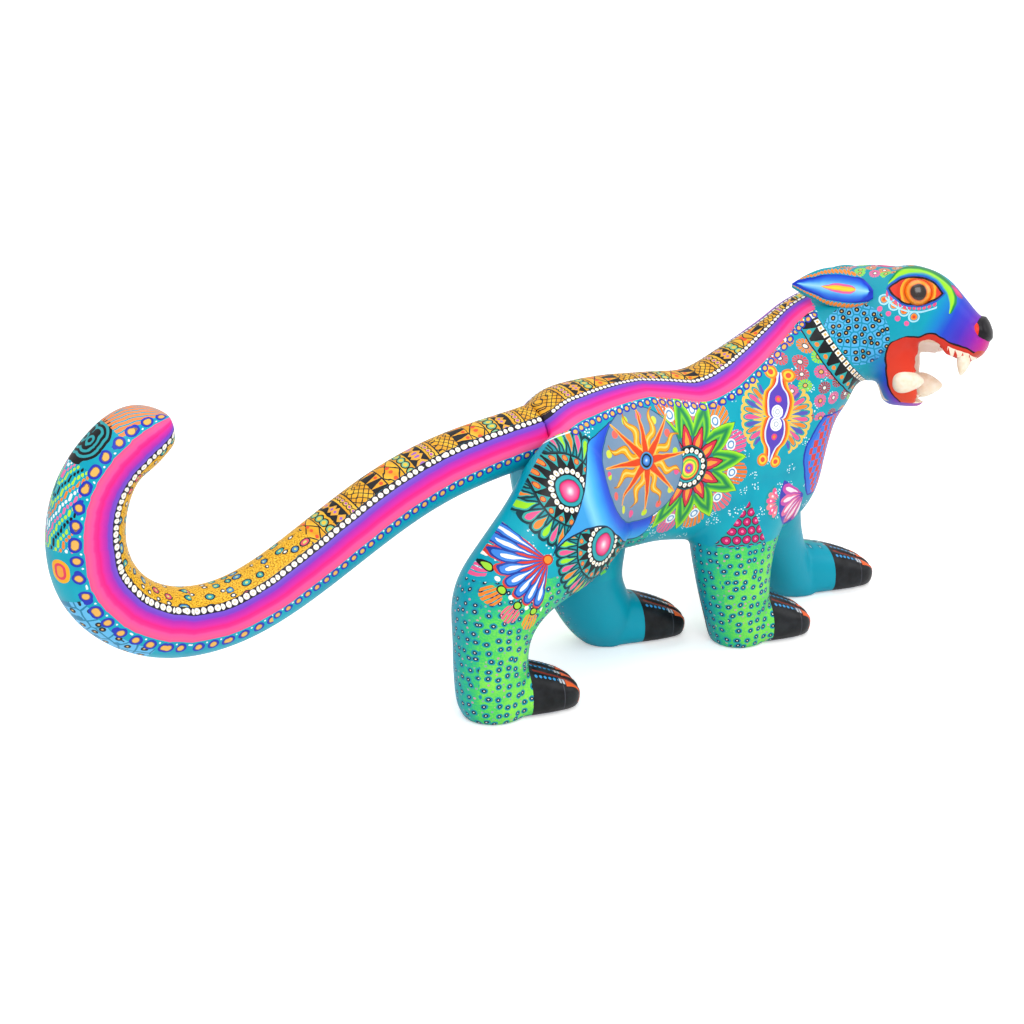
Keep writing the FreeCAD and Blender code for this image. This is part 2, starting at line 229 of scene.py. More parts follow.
def tail_line(points):
    """Centreline of the tail, marched from the joint to the tip."""
    place = middle("tail_peg")
    low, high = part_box("tail_peg")
    heading = unit(np.array([-(high.x - low.x), 0, -(high.z - low.z) * 0.55]))
    line = [place]
    for _ in range(90):
        guess = place + heading * TAIL_STEP
        offset = points - guess
        near = (np.abs(offset @ heading) < 2.5) & (np.linalg.norm(offset, axis=1) < 21)
        if near.sum() < 60:
            break
        centre = points[near].mean(axis=0)
        centre[1] = 0
        heading = unit(0.5 * heading + 0.5 * unit(centre - place))
        place = centre
        line.append(place)
    return np.array(line)


def tail_fields(piece):
    """The same fields on the tail, where 'down' is an angle round its centreline."""
    points = points_of(piece)
    line = tail_line(points)
    _, along = to_path(points, line)
    index = np.clip(np.searchsorted(np.arange(len(line)) * TAIL_STEP, along), 1, len(line) - 1)
    tangent = line[index] - line[index - 1]
    tangent /= np.linalg.norm(tangent, axis=1)[:, None]
    side = np.array([0.0, 1.0, 0.0])
    up = np.cross(side, tangent)
    centre = line[index - 1] + tangent * ((points - line[index - 1]) * tangent).sum(axis=1)[:, None]
    arm = points - centre
    angle = np.degrees(np.arctan2(np.abs(arm @ side), (arm * up).sum(axis=1)))
    bead_angle = np.interp(along, [0, 55, 265], [43, 44, 62])
    arc = TAIL_RADIUS * math.pi / 180
    keep_field(piece, "along", along)
    keep_field(piece, "mid", angle * arc)
    keep_field(piece, "edge", (angle - bead_angle) * arc)
    keep_field(piece, "stripe", (angle - bead_angle) * arc / STRIPES_TAIL)
    keep_field(piece, "under", angle)


def paw_fields(piece):
    """Forward and sideways places on whichever paw is nearest."""
    points = points_of(piece)
    ahead = np.array([math.cos(PAW_TURN), math.sin(PAW_TURN)])
    across = np.array([-math.sin(PAW_TURN), math.cos(PAW_TURN)])
    forward = np.full(len(points), -100.0)
    sideways = np.zeros(len(points))
    nearest = np.full(len(points), 22.0)
    for heel in PAW_HEELS:
        offset = points[:, :2] - np.array(heel)
        reach = offset @ ahead
        side = offset @ across
        beyond = np.maximum(10 - reach, 0) + np.maximum(reach - PAW_LENGTH - 4, 0)
        away = np.hypot(side, 2 * beyond)
        closer = (points[:, 2] < 40) & (away < nearest)
        nearest[closer] = away[closer]
        forward[closer] = reach[closer]
        sideways[closer] = side[closer]
    keep_field(piece, "paw_forward", forward)
    keep_field(piece, "paw_side", sideways)
    return forward, sideways


# ---- Carved details ---------------------------------------------------------------------

def carve_toes(piece, forward, sideways):
    """Three grooves over the front of each paw."""
    points = points_of(piece)
    normals = normals_of(piece)
    on_paw = (points[:, 2] < 25) & (forward > PAW_LENGTH * 0.5) & (np.abs(sideways) < 9.5)
    nearest = np.minimum.reduce([np.abs(sideways - TOE_PITCH * k) for k in (-1, 0, 1)])
    rise = np.clip((forward - PAW_LENGTH * 0.5) / 8, 0, 1)
    depth = np.where(on_paw, 1.3 * rise * np.exp(-(nearest / 1.1) ** 2), 0)
    move_points(piece, points - normals * depth[:, None])


def carve_face(piece):
    """Eyelid rims, brows, a raised nose and nostrils."""
    points = points_of(piece)
    normals = normals_of(piece)
    lift = np.zeros(len(points))
    for hand in (-1, 1):
        brow = head_points([(12, hand * 15, 22), (22, hand * 15, 24), (31, hand * 14, 21),
                            (37, hand * 12, 16)])
        away, _ = to_path(points, brow)
        lift += 1.5 * np.exp(-(away / 3.0) ** 2)
        eye = head_points([(EYE_FORWARD, hand * 19, EYE_UP)])[0]
        from_eye = np.linalg.norm(points - eye, axis=1)
        lift += 1.0 * np.exp(-((from_eye - 8.0) / 1.3) ** 2)
        nostril = head_points([(51, hand * 12, 1), (53, hand * 12, -4)])
        away, _ = to_path(points, nostril)
        lift -= 1.3 * np.exp(-(away / 1.4) ** 2)
    offset = points - HEAD
    ahead = (offset @ FORWARD - 56) / 8.5
    aside = offset @ LEFT / 15
    above = (offset @ UP + 0.5) / 6.0
    nose = np.sqrt(ahead ** 2 + aside ** 2 + above ** 2)
    lift += 1.4 * np.clip((1.05 - nose) / 0.25, 0, 1)
    move_points(piece, points + normals * lift[:, None])


# ---- Paint: numbers that change over the surface -------------------------------------------

PAPER = {"tree": None}


def tint(code):
    """Scene-linear colour of a six-digit colour code."""
    channels = [int(code[k:k + 2], 16) / 255 for k in (1, 3, 5)]
    return tuple(c / 12.92 if c <= 0.04045 else ((c + 0.055) / 1.055) ** 2.4 for c in channels) + (1.0,)


def feed(socket, value):
    """Links or sets one input."""
    if isinstance(value, Field):
        value = value.socket
    if isinstance(value, bpy.types.NodeSocket):
        PAPER["tree"].links.new(value, socket)
    elif isinstance(value, str):
        socket.default_value = tint(value)
    else:
        socket.default_value = value


def put(kind, **settings):
    """Adds one shader node."""
    made = PAPER["tree"].nodes.new(kind)
    for key, value in settings.items():
        setattr(made, key, value)
    return made


def calc(operation, *values, clamp=False):
    """One sum on numbers."""
    made = put("ShaderNodeMath", operation=operation, use_clamp=clamp)
    for index, value in enumerate(values):
        feed(made.inputs[index], value)
    return Field(made.outputs[0])


class Field:
    """A number that changes over the surface."""

    def __init__(self, socket):
        self.socket = socket

    def __add__(self, other):
        return calc("ADD", self, other)

    __radd__ = __add__

    def __sub__(self, other):
        return calc("SUBTRACT", self, other)

    def __rsub__(self, other):
        return calc("SUBTRACT", other, self)

    def __mul__(self, other):
        return calc("MULTIPLY", self, other)

    __rmul__ = __mul__

    def __truediv__(self, other):
        return calc("DIVIDE", self, other)

    def __lt__(self, other):
        return calc("LESS_THAN", self, other)

    def __gt__(self, other):
        return calc("GREATER_THAN", self, other)

    def __and__(self, other):
        return calc("MULTIPLY", self, other)

    def __or__(self, other):
        return calc("MAXIMUM", self, other)


def absolute(value):
    """The same number without its sign."""
    return calc("ABSOLUTE", value)


def near(value, centre, half):
    """1 where value lies within half of centre."""
    return calc("COMPARE", value, centre, half)


def between(value, low, high):
    """1 where value lies from low to high."""
    return calc("COMPARE", value, (low + high) / 2, (high - low) / 2)


def soft_below(value, limit, width):
    """Fades from 1 to 0 as value passes limit."""
    return calc("MULTIPLY_ADD", value, -1 / width, limit / width + 0.5, clamp=True)


def zigzag(value, half):
    """Runs from 0 to half and back again."""
    return calc("PINGPONG", value, half)


def repeat(value, pitch, shift=0.0):
    """Signed distance from the middle of whichever step of one pitch value falls in."""
    return (calc("FRACT", value / pitch + shift) - 0.5) * pitch


def vector_sum(operation, first, second):
    """One sum on points."""
    made = put("ShaderNodeVectorMath", operation=operation)
    feed(made.inputs[0], first)
    feed(made.inputs[1], second)
    return made


def point(x, y, z=0.0):
    """A point from three numbers."""
    made = put("ShaderNodeCombineXYZ")
    for socket, value in zip(made.inputs, (x, y, z)):
        feed(socket, value)
    return made.outputs[0]


def split(place):
    """The three numbers of a point."""
    made = put("ShaderNodeSeparateXYZ")
    feed(made.inputs[0], place)
    return [Field(socket) for socket in made.outputs]


def shifted(place, offset):
    """A point less an offset."""
    return vector_sum("SUBTRACT", place, offset).outputs[0]


def along_axis(place, axis):
    """How far a point lies along an axis."""
    return Field(vector_sum("DOT_PRODUCT", place, tuple(axis)).outputs["Value"])


def head_axes(place):
    """A point's arm from the middle of the skull, and its forward, left and up parts."""
    arm = shifted(place, tuple(HEAD))
    return arm, along_axis(arm, FORWARD), along_axis(arm, LEFT), along_axis(arm, UP)


def size_of(place):
    """Length of a vector."""
    made = put("ShaderNodeVectorMath", operation="LENGTH")
    feed(made.inputs[0], place)
    return Field(made.outputs["Value"])


def gap(place, centre):
    """Distance from a point to a centre."""
    return Field(vector_sum("DISTANCE", place, tuple(centre)).outputs["Value"])


def spread(x, y):
    """Length of the arm x, y."""
    return size_of(point(x, y))


def over(under, mask, top):
    """Top colour laid over what's under it, where mask is 1."""
    made = put("ShaderNodeMix", data_type="RGBA")
    feed(made.inputs[0], mask)
    feed(made.inputs[6], under)
    feed(made.inputs[7], top)
    return made.outputs[2]


def rings(under, distance, steps, where=None):
    """Smaller and smaller rings, each laid where distance is under its own limit."""
    for limit, colour in steps:
        mask = distance < limit
        under = over(under, mask if where is None else mask & where, colour)
    return under


def ramp(value, stops, crisp=False):
    """Colour by a number from 0 to 1."""
    made = put("ShaderNodeValToRGB")
    table = made.color_ramp
    table.interpolation = "CONSTANT" if crisp else "LINEAR"
    while len(table.elements) < len(stops):
        table.elements.new(0.5)
    for element, (place, colour) in zip(table.elements, stops):
        element.position = place
    for element, (place, colour) in zip(table.elements, stops):
        element.color = tint(colour)
    feed(made.inputs[0], value)
    return made.outputs[0]


def curve(value, points):
    """Number read off a smooth curve through a few points."""
    lows = [min(p[k] for p in points) for k in (0, 1)]
    highs = [max(p[k] for p in points) for k in (0, 1)]
    spans = [high - low for low, high in zip(lows, highs)]
    share = calc("MULTIPLY_ADD", value, 1 / spans[0], -lows[0] / spans[0])
    made = put("ShaderNodeFloatCurve")
    line = made.mapping.curves[0]
    scaled = sorted(((x - lows[0]) / spans[0], (y - lows[1]) / spans[1]) for x, y in points)
    for _ in range(len(scaled) - 2):
        line.points.new(0.5, 0.5)
    for spot, place in zip(line.points, scaled):
        spot.location = place
    made.mapping.update()
    feed(made.inputs["Value"], share)
    return calc("MULTIPLY_ADD", Field(made.outputs[0]), spans[1], lows[1])


def field(name):
    """Number stored on the mesh."""
    return Field(put("ShaderNodeAttribute", attribute_name=name).outputs["Fac"])


def noise(place, scale, detail=2.0):
    """Cloudy number from 0 to 1; scale is the size of its clouds."""
    made = put("ShaderNodeTexNoise")
    feed(made.inputs["Vector"], place)
    made.inputs["Scale"].default_value = 1 / scale
    made.inputs["Detail"].default_value = detail
    return made


def cells(place, size, randomness=1.0, edges=False):
    """Voronoi cells of about one size."""
    made = put("ShaderNodeTexVoronoi", voronoi_dimensions="2D")
    made.feature = "DISTANCE_TO_EDGE" if edges else "F1"
    feed(made.inputs["Vector"], place)
    made.inputs["Scale"].default_value = 1 / size
    made.inputs["Randomness"].default_value = randomness
    return made


class Flower:
    """Polar look at a place: radius, and the arm across one of many equal petals."""

    def __init__(self, place, centre, stretch=1.0, lean=0.0):
        away = shifted(place, (centre[0], centre[1], 0.0))
        x, y, _ = split(away)
        if stretch != 1.0:
            y = y * stretch
        self.radius = spread(x, y)
        self.turn = calc("ARCTAN2", y, x) / TURN + lean / 360

    def share(self, count, shift=0.0):
        """Position among count petals."""
        return calc("MULTIPLY_ADD", self.turn, float(count), shift + 100.0 * count)

    def signed(self, count, shift=0.0):
        """The same distance with a sign: below nought on one side, above it on the other."""
        return (calc("FRACT", self.share(count, shift)) - 0.5) * self.radius * (TURN / count)

    def across(self, count, shift=0.0):
        """Sideways distance from the middle line of the nearest petal."""
        from_edge = zigzag(self.share(count, shift), 0.5)
        return (0.5 - from_edge) * self.radius * (TURN / count)

    def dots(self, count, ring, radius, shift=0.0):
        """1 inside a ring of round dots."""
        return spread(self.across(count, shift), self.radius - ring) < radius

    def colour(self, count, stops, shift=0.0):
        """Colour that changes from petal to petal."""
        index = calc("FLOOR", self.share(count, shift))
        share = calc("FRACT", index / float(len(stops)) + 0.01)
        return ramp(share, [(k / len(stops), stop) for k, stop in enumerate(stops)], crisp=True)


DROP = [(0, 0.05), (0.35, 0.55), (0.7, 1.0), (0.9, 0.75), (1, 0)]
SPEAR = [(0, 0.02), (0.45, 0.42), (0.78, 1.0), (0.93, 0.8), (1, 0)]
FLAME = [(0, 0.35), (0.3, 1.0), (0.62, 0.68), (1, 0)]


def petal(flower, count, inner, outer, width, shift=0.0, grow=0.0, shape=DROP):
    """1 inside petals from an inner to an outer radius."""
    share = (flower.radius - (inner - grow)) / (outer - inner + 2 * grow)
    half = curve(share, shape)
    inside = flower.across(count, shift) < half * (width / 2) + grow
    return inside & between(share, 0, 1)


# ---- Paint: motifs --------------------------------------------------------------------------

BLACK = "#14161a"
WHITE = "#f7f4ea"
TAN = "#e9b765"
TEAL = "#009fb8"
LIME = "#9be22b"
ORANGE = "#f5862b"
PINK = "#f0598f"


def mandala(under, place, centre, ball, bead_ring, points_ring, outer, petals):
    """Pink ball in rings of beads, points and long petals."""
    flower = Flower(place, centre)
    radius = flower.radius
    under = over(under, radius < outer, "#128f9c")
    outline = petal(flower, petals, points_ring, outer, 4.2, grow=0.35)
    under = over(under, outline, "#0c3a44")
    inner = petal(flower, petals, points_ring + 0.7, outer - 0.9, 3.2)
    under = over(under, inner, "#35a79f")
    core = petal(flower, petals, points_ring + 1.6, outer - 1.8, 2.1)
    under = over(under, core, flower.colour(petals, [ORANGE, LIME, PINK, ORANGE, LIME, PINK]))
    under = over(under, radius < points_ring + 0.5, "#0c3a44")
    under = over(under, radius < points_ring, BLACK)
    count = round(petals * 0.45)
    room = points_ring - bead_ring - 1.6
    point_mask = flower.across(count) < (radius - (bead_ring + 1.6)) * 0.55
    point_mask = point_mask & between(radius, bead_ring + 1.6, points_ring - 0.4)
    under = over(under, point_mask, "#2aa7a6")
    under = over(under, flower.dots(count, points_ring - room * 0.35, 1.15), "#a81f17")
    under = over(under, flower.dots(count, points_ring - room * 0.35, 0.85), "#f58a3c")
    beads = round(TURN * bead_ring / 2.5)
    under = over(under, flower.dots(beads, bead_ring, 1.08), WHITE)
    under = over(under, flower.dots(beads, bead_ring, 0.32), TAN)
    ball_share = radius / (bead_ring - 1.3)
    edge = ball / (bead_ring - 1.3)
    ball_paint = ramp(ball_share, [
        (0.0, "#fff2f4"), (edge * 0.45, "#f77aa8"), (edge * 0.9, "#e5307a"), (edge, "#c01a5c"),
        (edge + 0.02, "#10303a"), (edge + 0.08, "#2aa0ac"), (0.93, "#2aa0ac"), (0.95, BLACK)])
    return over(under, ball_share < 1.0, ball_paint)


def sunburst(under, place, centre, ellipse_centre, half_width, half_height):
    """Sun with straight and waving rays on a slate blue oval, ringed with dots."""
    oval = Flower(place, ellipse_centre, stretch=half_width / half_height)
    share = oval.radius / half_width
    slate = ramp(share, [(0, "#8f9fb3"), (1, "#6f8fae")])
    under = rings(under, share, [(1.02, "#1f5f86"), (1.0, slate)])
    dots = oval.dots(15, half_width * 0.86, 1.5)
    under = over(under, dots, oval.colour(15, ["#c4e02a", "#f2695f", "#d9e04a", "#f0598f"]))
    sun = Flower(place, centre, stretch=0.9)
    reach = 21.0
    bend = calc("SINE", sun.radius * 0.62) * 1.25
    wave = absolute(sun.signed(8) + bend)
    wave_width = curve(sun.radius / reach,
                       [(0, 0.3), (0.25, 1.7), (0.5, 1.6), (0.8, 0.8), (0.97, 0.0), (1, 0)])
    under = over(under, (wave < wave_width + 0.4) & (sun.radius < reach), "#b8741e")
    under = over(under, (wave < wave_width) & (sun.radius < reach), "#f6a51a")
    under = over(under, (wave < wave_width * 0.3) & (sun.radius < reach * 0.9), "#fbd56a")
    ray = sun.across(8, 0.5)
    ray_width = curve(sun.radius / reach, [(0, 1.7), (0.15, 1.6), (0.5, 0.85), (1, 0.0)])
    under = over(under, (ray < ray_width + 0.45) & (sun.radius < reach * 1.06), "#f7b04a")
    under = over(under, (ray < ray_width) & (sun.radius < reach), "#e2481c")
    eye = sun.radius / 4.0
    eye_paint = ramp(eye, [(0, "#f4f7ff"), (0.2, "#5d9be8"), (0.5, "#2f6fc0"), (0.55, BLACK), (0.7, BLACK),
                           (0.72, "#3f93c9"), (0.85, "#3f93c9"), (0.9, "#c4461c"), (1.0, "#c4461c")])
    return over(under, eye < 1.0, eye_paint)


def leaf_foot(x):
    """Height of the lower edge of the blue leaf."""
    return curve(x, [(-112, 80), (-97, 87.5), (-86, 87.5), (-74, 80), (-62, 71), (-53, 68.5), (-47, 79)])


def crescent(under, place, x, z, ellipse_centre, half_width, half_height):
    """Blue leaf that wraps the oval, from pale at its rim to deep blue inside."""
    left_edge = curve(z, [(66, -114), (81, -110.5), (92, -99), (103, -91.5), (118, -83), (125, -72),
                          (129, -62)])
    low_edge = leaf_foot(x)
    oval = Flower(place, ellipse_centre, stretch=half_width / half_height)
    share = oval.radius / half_width
    inside = (x > left_edge) & (z > low_edge) & (x < -47.5) & (z < 129) & (share > 1.0)
    rim = ((x + 0.8) > left_edge) & ((z + 0.8) > low_edge) & (x < -47) & (z < 129.6) & (share > 1.0)
    under = over(under, rim, "#12304f")
    paint = ramp(share - 1.0, [(0.0, "#6f8fd8"), (0.03, "#2446c8"), (0.16, "#2a62dd"), (0.26, "#2f8be6"),
                               (0.42, "#45b1ee"), (0.62, "#7fd0f2"), (0.8, "#3d9fe0")])
    return over(under, inside, paint)


def star_flower(under, place, centre):
    """Green spiked star round red petals, a bead ring and bright rings."""
    flower = Flower(place, centre, lean=15)
    radius = flower.radius
    shells = Flower(place, centre, lean=0)
    side = shells.across(12)
    rib = zigzag(shells.share(96), 0.5) > 0.14
    shell = shells.colour(12, [PINK, ORANGE, "#e86a78", "#f0742a"])
    under = over(under, (side < 5.2) & (spread(side, radius - 27.5) < 6.6) & rib, shell)
    for size, colour in ((2.7, "#e9f3f6"), (1.9, "#5f93c4"), (1.2, "#e9f3f6")):
        under = over(under, spread(side, radius - 25.5) < size, colour)
    spike = zigzag(flower.share(12), 0.5) * 2
    limit = calc("MULTIPLY_ADD", spike, 13.0, 19.5)
    depth = limit - radius
    under = over(under, depth > -0.5, "#1d6b34")
    green = ramp(depth / 14.0, [(0.0, "#b6ea2c"), (0.10, "#8fe02c"), (0.24, "#3fae3a"), (0.38, "#1c7a55"),
                                (0.52, "#2a9b46"), (0.66, "#7fd62e"), (0.8, "#2f9d50")])
    under = over(under, depth > 0.0, green)
    under = over(under, radius < 14.5, "#2a7a86")
    under = over(under, petal(flower, 12, 9.0, 19.4, 5.2, grow=0.4, shape=FLAME), "#5a0f1e")
    under = over(under, petal(flower, 12, 9.0, 19.4, 5.0, shape=FLAME), "#d92f45")
    under = over(under, petal(flower, 12, 10.0, 16.5, 2.2, shape=FLAME), "#f7a03c")
    bands = ramp(radius / 11.0, [
        (0.0, "#f3a33a"), (0.07, "#7a54c8"), (0.16, "#f04f7c"), (0.23, "#f5e04a"), (0.32, "#7ecb3a"),
        (0.40, "#f0c53a"), (0.44, "#e5533a"), (0.50, "#1a2a33"), (0.54, "#2aa0a8"), (0.62, BLACK),
        (0.90, "#0d5f68"), (0.94, "#3b1414")], crisp=True)
    under = over(under, radius < 10.6, bands)
    under = over(under, flower.dots(18, 8.2, 1.15), WHITE)
    return over(under, flower.dots(18, 8.2, 0.35), TAN)


def knee_fan(under, place, apex):
    """Fan of blue teardrops on red, edged with dots and shells."""
    fan = Flower(place, apex)
    radius = fan.radius
    turn = calc("FRACT", fan.turn + 1.0)
    wedge = between(turn, 8 / 22, 16 / 22)
    rim = between(turn, 0.3575, 0.7325)
    shells = fan.across(16, 0.28)
    shell_mask = (spread(shells, radius - 29.0) < 4.2) & (zigzag(fan.share(112, 0.28 * 7), 0.5) > 0.15)
    under = over(under, shell_mask & rim, fan.colour(16, [PINK, ORANGE, "#ef6a7e", "#f39a2a"], 0.28))
    for size, colour in ((2.0, BLACK), (1.4, "#9fdc3a")):
        under = over(under, (spread(shells, radius - 24.0) < size) & rim, colour)
    under = over(under, fan.dots(16, 23.0, 1.1, 0.78) & rim, WHITE)
    web = (petal(fan, 22, -2.0, 22.4, 6.6) | (radius < 13)) & wedge
    under = over(under, web, "#d8402f")
    for inner, outer, width, colour in ((2.0, 21.4, 5.0, "#1c3f9c"), (4.0, 20.6, 3.7, "#3f86e0"),
                                        (6.5, 18.6, 1.7, "#f1f7ff")):
        under = over(under, petal(fan, 22, inner, outer, width, shape=SPEAR) & wedge, colour)
    return rings(under, radius, [(2.4, "#c8321f"), (1.7, "#f7902f")])


def net_patch(under, x, z):
    """Triangle of magenta balls in a black net."""
    left = calc("MULTIPLY_ADD", z, 0.72, -50.0)
    right = calc("MULTIPLY_ADD", z, -0.42, 39.0)
    inside = (x > left) & (x < right) & (z > 56.4)
    shift = calc("MODULO", calc("FLOOR", z / 4.4), 2.0) * 0.5
    distance = spread(repeat(x, 4.6, shift), repeat(z, 4.4))
    under = over(under, inside, "#2b9a9c")
    return rings(under, distance, [(2.15, BLACK), (1.75, "#c81d68"), (0.6, "#f48ab4")], inside)


def scroll_ornament(under, place, centre):
    """Tall double scroll in yellow, orange and red, with violet drops and side fans."""
    lean = math.radians(15)
    x, z, _ = split(shifted(place, (centre[0], centre[1], 0.0)))
    across = x * math.cos(lean) - z * math.sin(lean)
    height = x * math.sin(lean) + z * math.cos(lean)
    local = point(across, height)
    fan = Flower(local, (0.0, 0.0))
    side = (absolute(height) < absolute(across) * 1.5) & between(fan.radius, 6, 19)
    under = over(under, side & petal(fan, 30, 7.0, 18.6, 4.6, grow=0.3), "#f0c458")
    under = over(under, side & petal(fan, 30, 8.0, 17.6, 3.0), "#1fa0a6")
    under = over(under, side & petal(fan, 30, 8.6, 16.6, 2.0), fan.colour(30, [PINK, "#5a58b8", ORANGE]))
    tall = absolute(height)
    width = curve(tall, [(0, 2.6), (5, 5.6), (9, 5.4), (15, 1.9), (19, 1.2), (23, 1.0)])
    offset = absolute(across) - width
    live = tall < 20.5
    under = rings(under, offset, [(2.4, "#f5c636"), (1.5, "#ef7a22"), (0.6, "#d8331f"),
                                  (0.0, "#dfe9f7"), (-0.9, "#5b45b8")], live)
    for hand in (-1, 1):
        for end in (-1, 1):
            curl = gap(local, (hand * 3.8, end * 20.0, 0.0))
            under = rings(under, curl, [(3.0, "#f0862a"), (2.1, "#f7d23c"), (1.2, "#e5533a")])
        spiral = gap(local, (0.0, hand * 2.8, 0.0))
        swirl = ramp(spiral / 3.2, [(0, "#ffffff"), (0.25, "#a9b8c8"), (0.4, "#ffffff"), (0.65, "#a9b8c8"),
                                    (0.75, "#ffffff")], crisp=True)
        under = over(under, spiral < 3.1, swirl)
        drop = gap(local, (0.0, hand * 8.6, 0.0))
        under = rings(under, drop, [(1.5, "#e84a7c"), (0.7, ORANGE)])
    return under


def chest_patch(under, x, z, run):
    """Blue leaf with a red and blue chequer down the edge of the chest."""
    left = curve(z, [(72, 46), (76, 43), (85, 39.5), (96, 37.5), (104, 41), (113, 47)])
    inside = (x > left) & between(z, 73, 113)
    under = over(under, ((x + 1.0) > left) & between(z, 72, 114), "#1c2fa8")
    check = calc("MODULO", calc("FLOOR", run / 3.1) + calc("FLOOR", z / 3.4) + 400.0, 2.0)
    paint = over("#3f7fe0", check > 0.5, "#d8403a")
    under = over(under, inside, paint)
    return over(under, inside & (x < (left + 2.4)), "#2f6fd8")


def petal_fan(under, place, apex, inner_turn, outer_turn, count, reach, colours, back):
    """Small fan of petals on a coloured ground."""
    fan = Flower(place, apex)
    wedge = between(calc("FRACT", fan.turn + 1.0), inner_turn, outer_turn)
    under = over(under, (fan.radius < reach) & wedge, back)
    under = over(under, petal(fan, count, 2.0, reach - 1.0, TURN * reach / count * 0.75) & wedge,
                 fan.colour(count, colours))
    under = over(under, (petal(fan, count, 4.5, reach - 3.0, TURN * reach / count * 0.3)) & wedge, "#fbe4ee")
    return under


def rosettes(under, place, size, mask, colours):
    """Scattered small shell flowers that fill a patch."""
    made = cells(place, size, 0.7)
    centre = vector_sum("SUBTRACT", place, made.outputs["Position"]).outputs[0]
    x, y, _ = split(centre)
    radius = spread(x, y) / size
    turn = calc("ARCTAN2", y, x) / TURN
    rib = zigzag(turn * 13.0 + 130.0, 0.5) > 0.13
    red, _, blue = split(made.outputs["Color"])
    paint = ramp(red, [(k / len(colours), colour) for k, colour in enumerate(colours)], crisp=True)
    under = over(under, mask & between(radius, 0.16, 0.44) & rib, paint)
    heart = over("#f3f0e4", blue > 0.5, TAN)
    return rings(under, radius, [(0.17, "#1b2a33"), (0.12, heart)], mask)


def pebble_paint(place, size, colours, limits):
    """Pale cells with darker borders, and a tan dot in a dark ring in each."""
    pale, dark, ink = colours
    border, ring, dot = limits
    edges = Field(cells(place, size, 0.6, edges=True).outputs["Distance"])
    distance = Field(cells(place, size, 0.6).outputs["Distance"])
    return rings(over(pale, edges < border, dark), distance, [(ring, ink), (dot, TAN)])


def dash_clusters(under, place, mask):
    """Clusters of tiny white dashes scattered over plain teal."""
    coarse = Field(cells(place, 9.0, 0.9).outputs["Distance"])
    fine = Field(cells(place, 1.5, 0.9).outputs["Distance"])
    return over(under, mask & (coarse < 0.27) & (fine < 0.22), "#d9f2f4")


# ---- Paint: bands along the back and the tail ----------------------------------------------

def gold_panels(along, mid):
    """Gold strip cut into black patterned panels."""
    t = calc("FRACT", along / PANEL_REPEAT) * PANEL_REPEAT
    gold = ramp(calc("FRACT", t * 0.131 + mid * 0.07), [(0, "#eeb325"), (0.5, "#dd9a1c"), (1, "#f2c23a")])
    line_a = zigzag(t + mid * 0.9, 1.5) < 0.28
    line_b = zigzag(t - mid * 0.9 + 200.0, 1.5) < 0.28
    paint = over(gold, (line_a | line_b) & (t < 9), BLACK)
    fold = zigzag(mid + 1.6, 2.6)
    dot = spread(t - 12.0, fold - 1.3)
    paint = rings(paint, dot, [(1.75, BLACK), (1.25, "#e9c04a"), (0.75, "#b05fb0")], between(t, 9, 15))
    diamond = absolute(t - 18.0) + absolute(zigzag(mid + 3.0, 3.4) - 1.2) * 1.1
    panel = between(t, 15, 21)
    paint = over(paint, panel, BLACK)
    paint = rings(paint, diamond, [(2.5, "#e8a83a"), (0.9, "#9a5fc0")], panel)
    oval = spread(t - 24.0, zigzag(mid, 4.0) - 2.2)
    paint = rings(paint, oval, [(2.3, BLACK), (1.7, "#7fb98a"), (1.0, "#e8c23a")], between(t, 21, 27))
    slope = absolute(absolute(t - 31.0) * 1.6 - zigzag(mid, 6.0))
    panel = between(t, 27, 35)
    paint = over(paint, (slope < 0.55) & panel, BLACK)
    paint = over(paint, (spread(t - 31.0, zigzag(mid, 3.5) - 2.0) < 1.0) & panel, "#e8552a")
    spikes = zigzag(mid + 1.5, 2.2) < (PANEL_REPEAT - t) * 0.26
    panel = between(t, 35, PANEL_REPEAT)
    paint = over(paint, panel, BLACK)
    paint = over(paint, spikes & panel, "#eca62a")
    paint = over(paint, (spread(t - 37.0, zigzag(mid + 1.5, 2.2)) < 0.9) & panel, "#e8552a")
    for edge in (9.0, 15.0, 21.0, 27.0, 35.0):
        paint = over(paint, near(t, edge, 0.32), BLACK)
    return paint


def gold_speckle(along, mid):
    """Stippled gold with ringed ovals, for the outer tail."""
    place = point(along, mid)
    stipple = Field(noise(place, 0.7, 1.0).outputs["Fac"])
    paint = ramp(stipple, [(0.35, "#a87412"), (0.5, "#e9ad1e"), (0.7, "#f6cf45")])
    stretched = point(along * 0.72, mid)
    made = cells(stretched, 5.2, 0.75)
    distance = Field(made.outputs["Distance"])
    red, green, _ = split(made.outputs["Color"])
    big = green > 0.4
    paint = over(paint, distance < calc("MULTIPLY_ADD", big, 0.14, 0.2), "#1b2a33")
    fill = over(WHITE, big, ramp(red, [(0, "#2f9fa6"), (0.4, "#4f8fc0"), (0.7, "#e0566a")], crisp=True))
    paint = over(paint, distance < calc("MULTIPLY_ADD", big, 0.14, 0.1), fill)
    return over(paint, (distance < 0.1) & big, "#cfd66a")


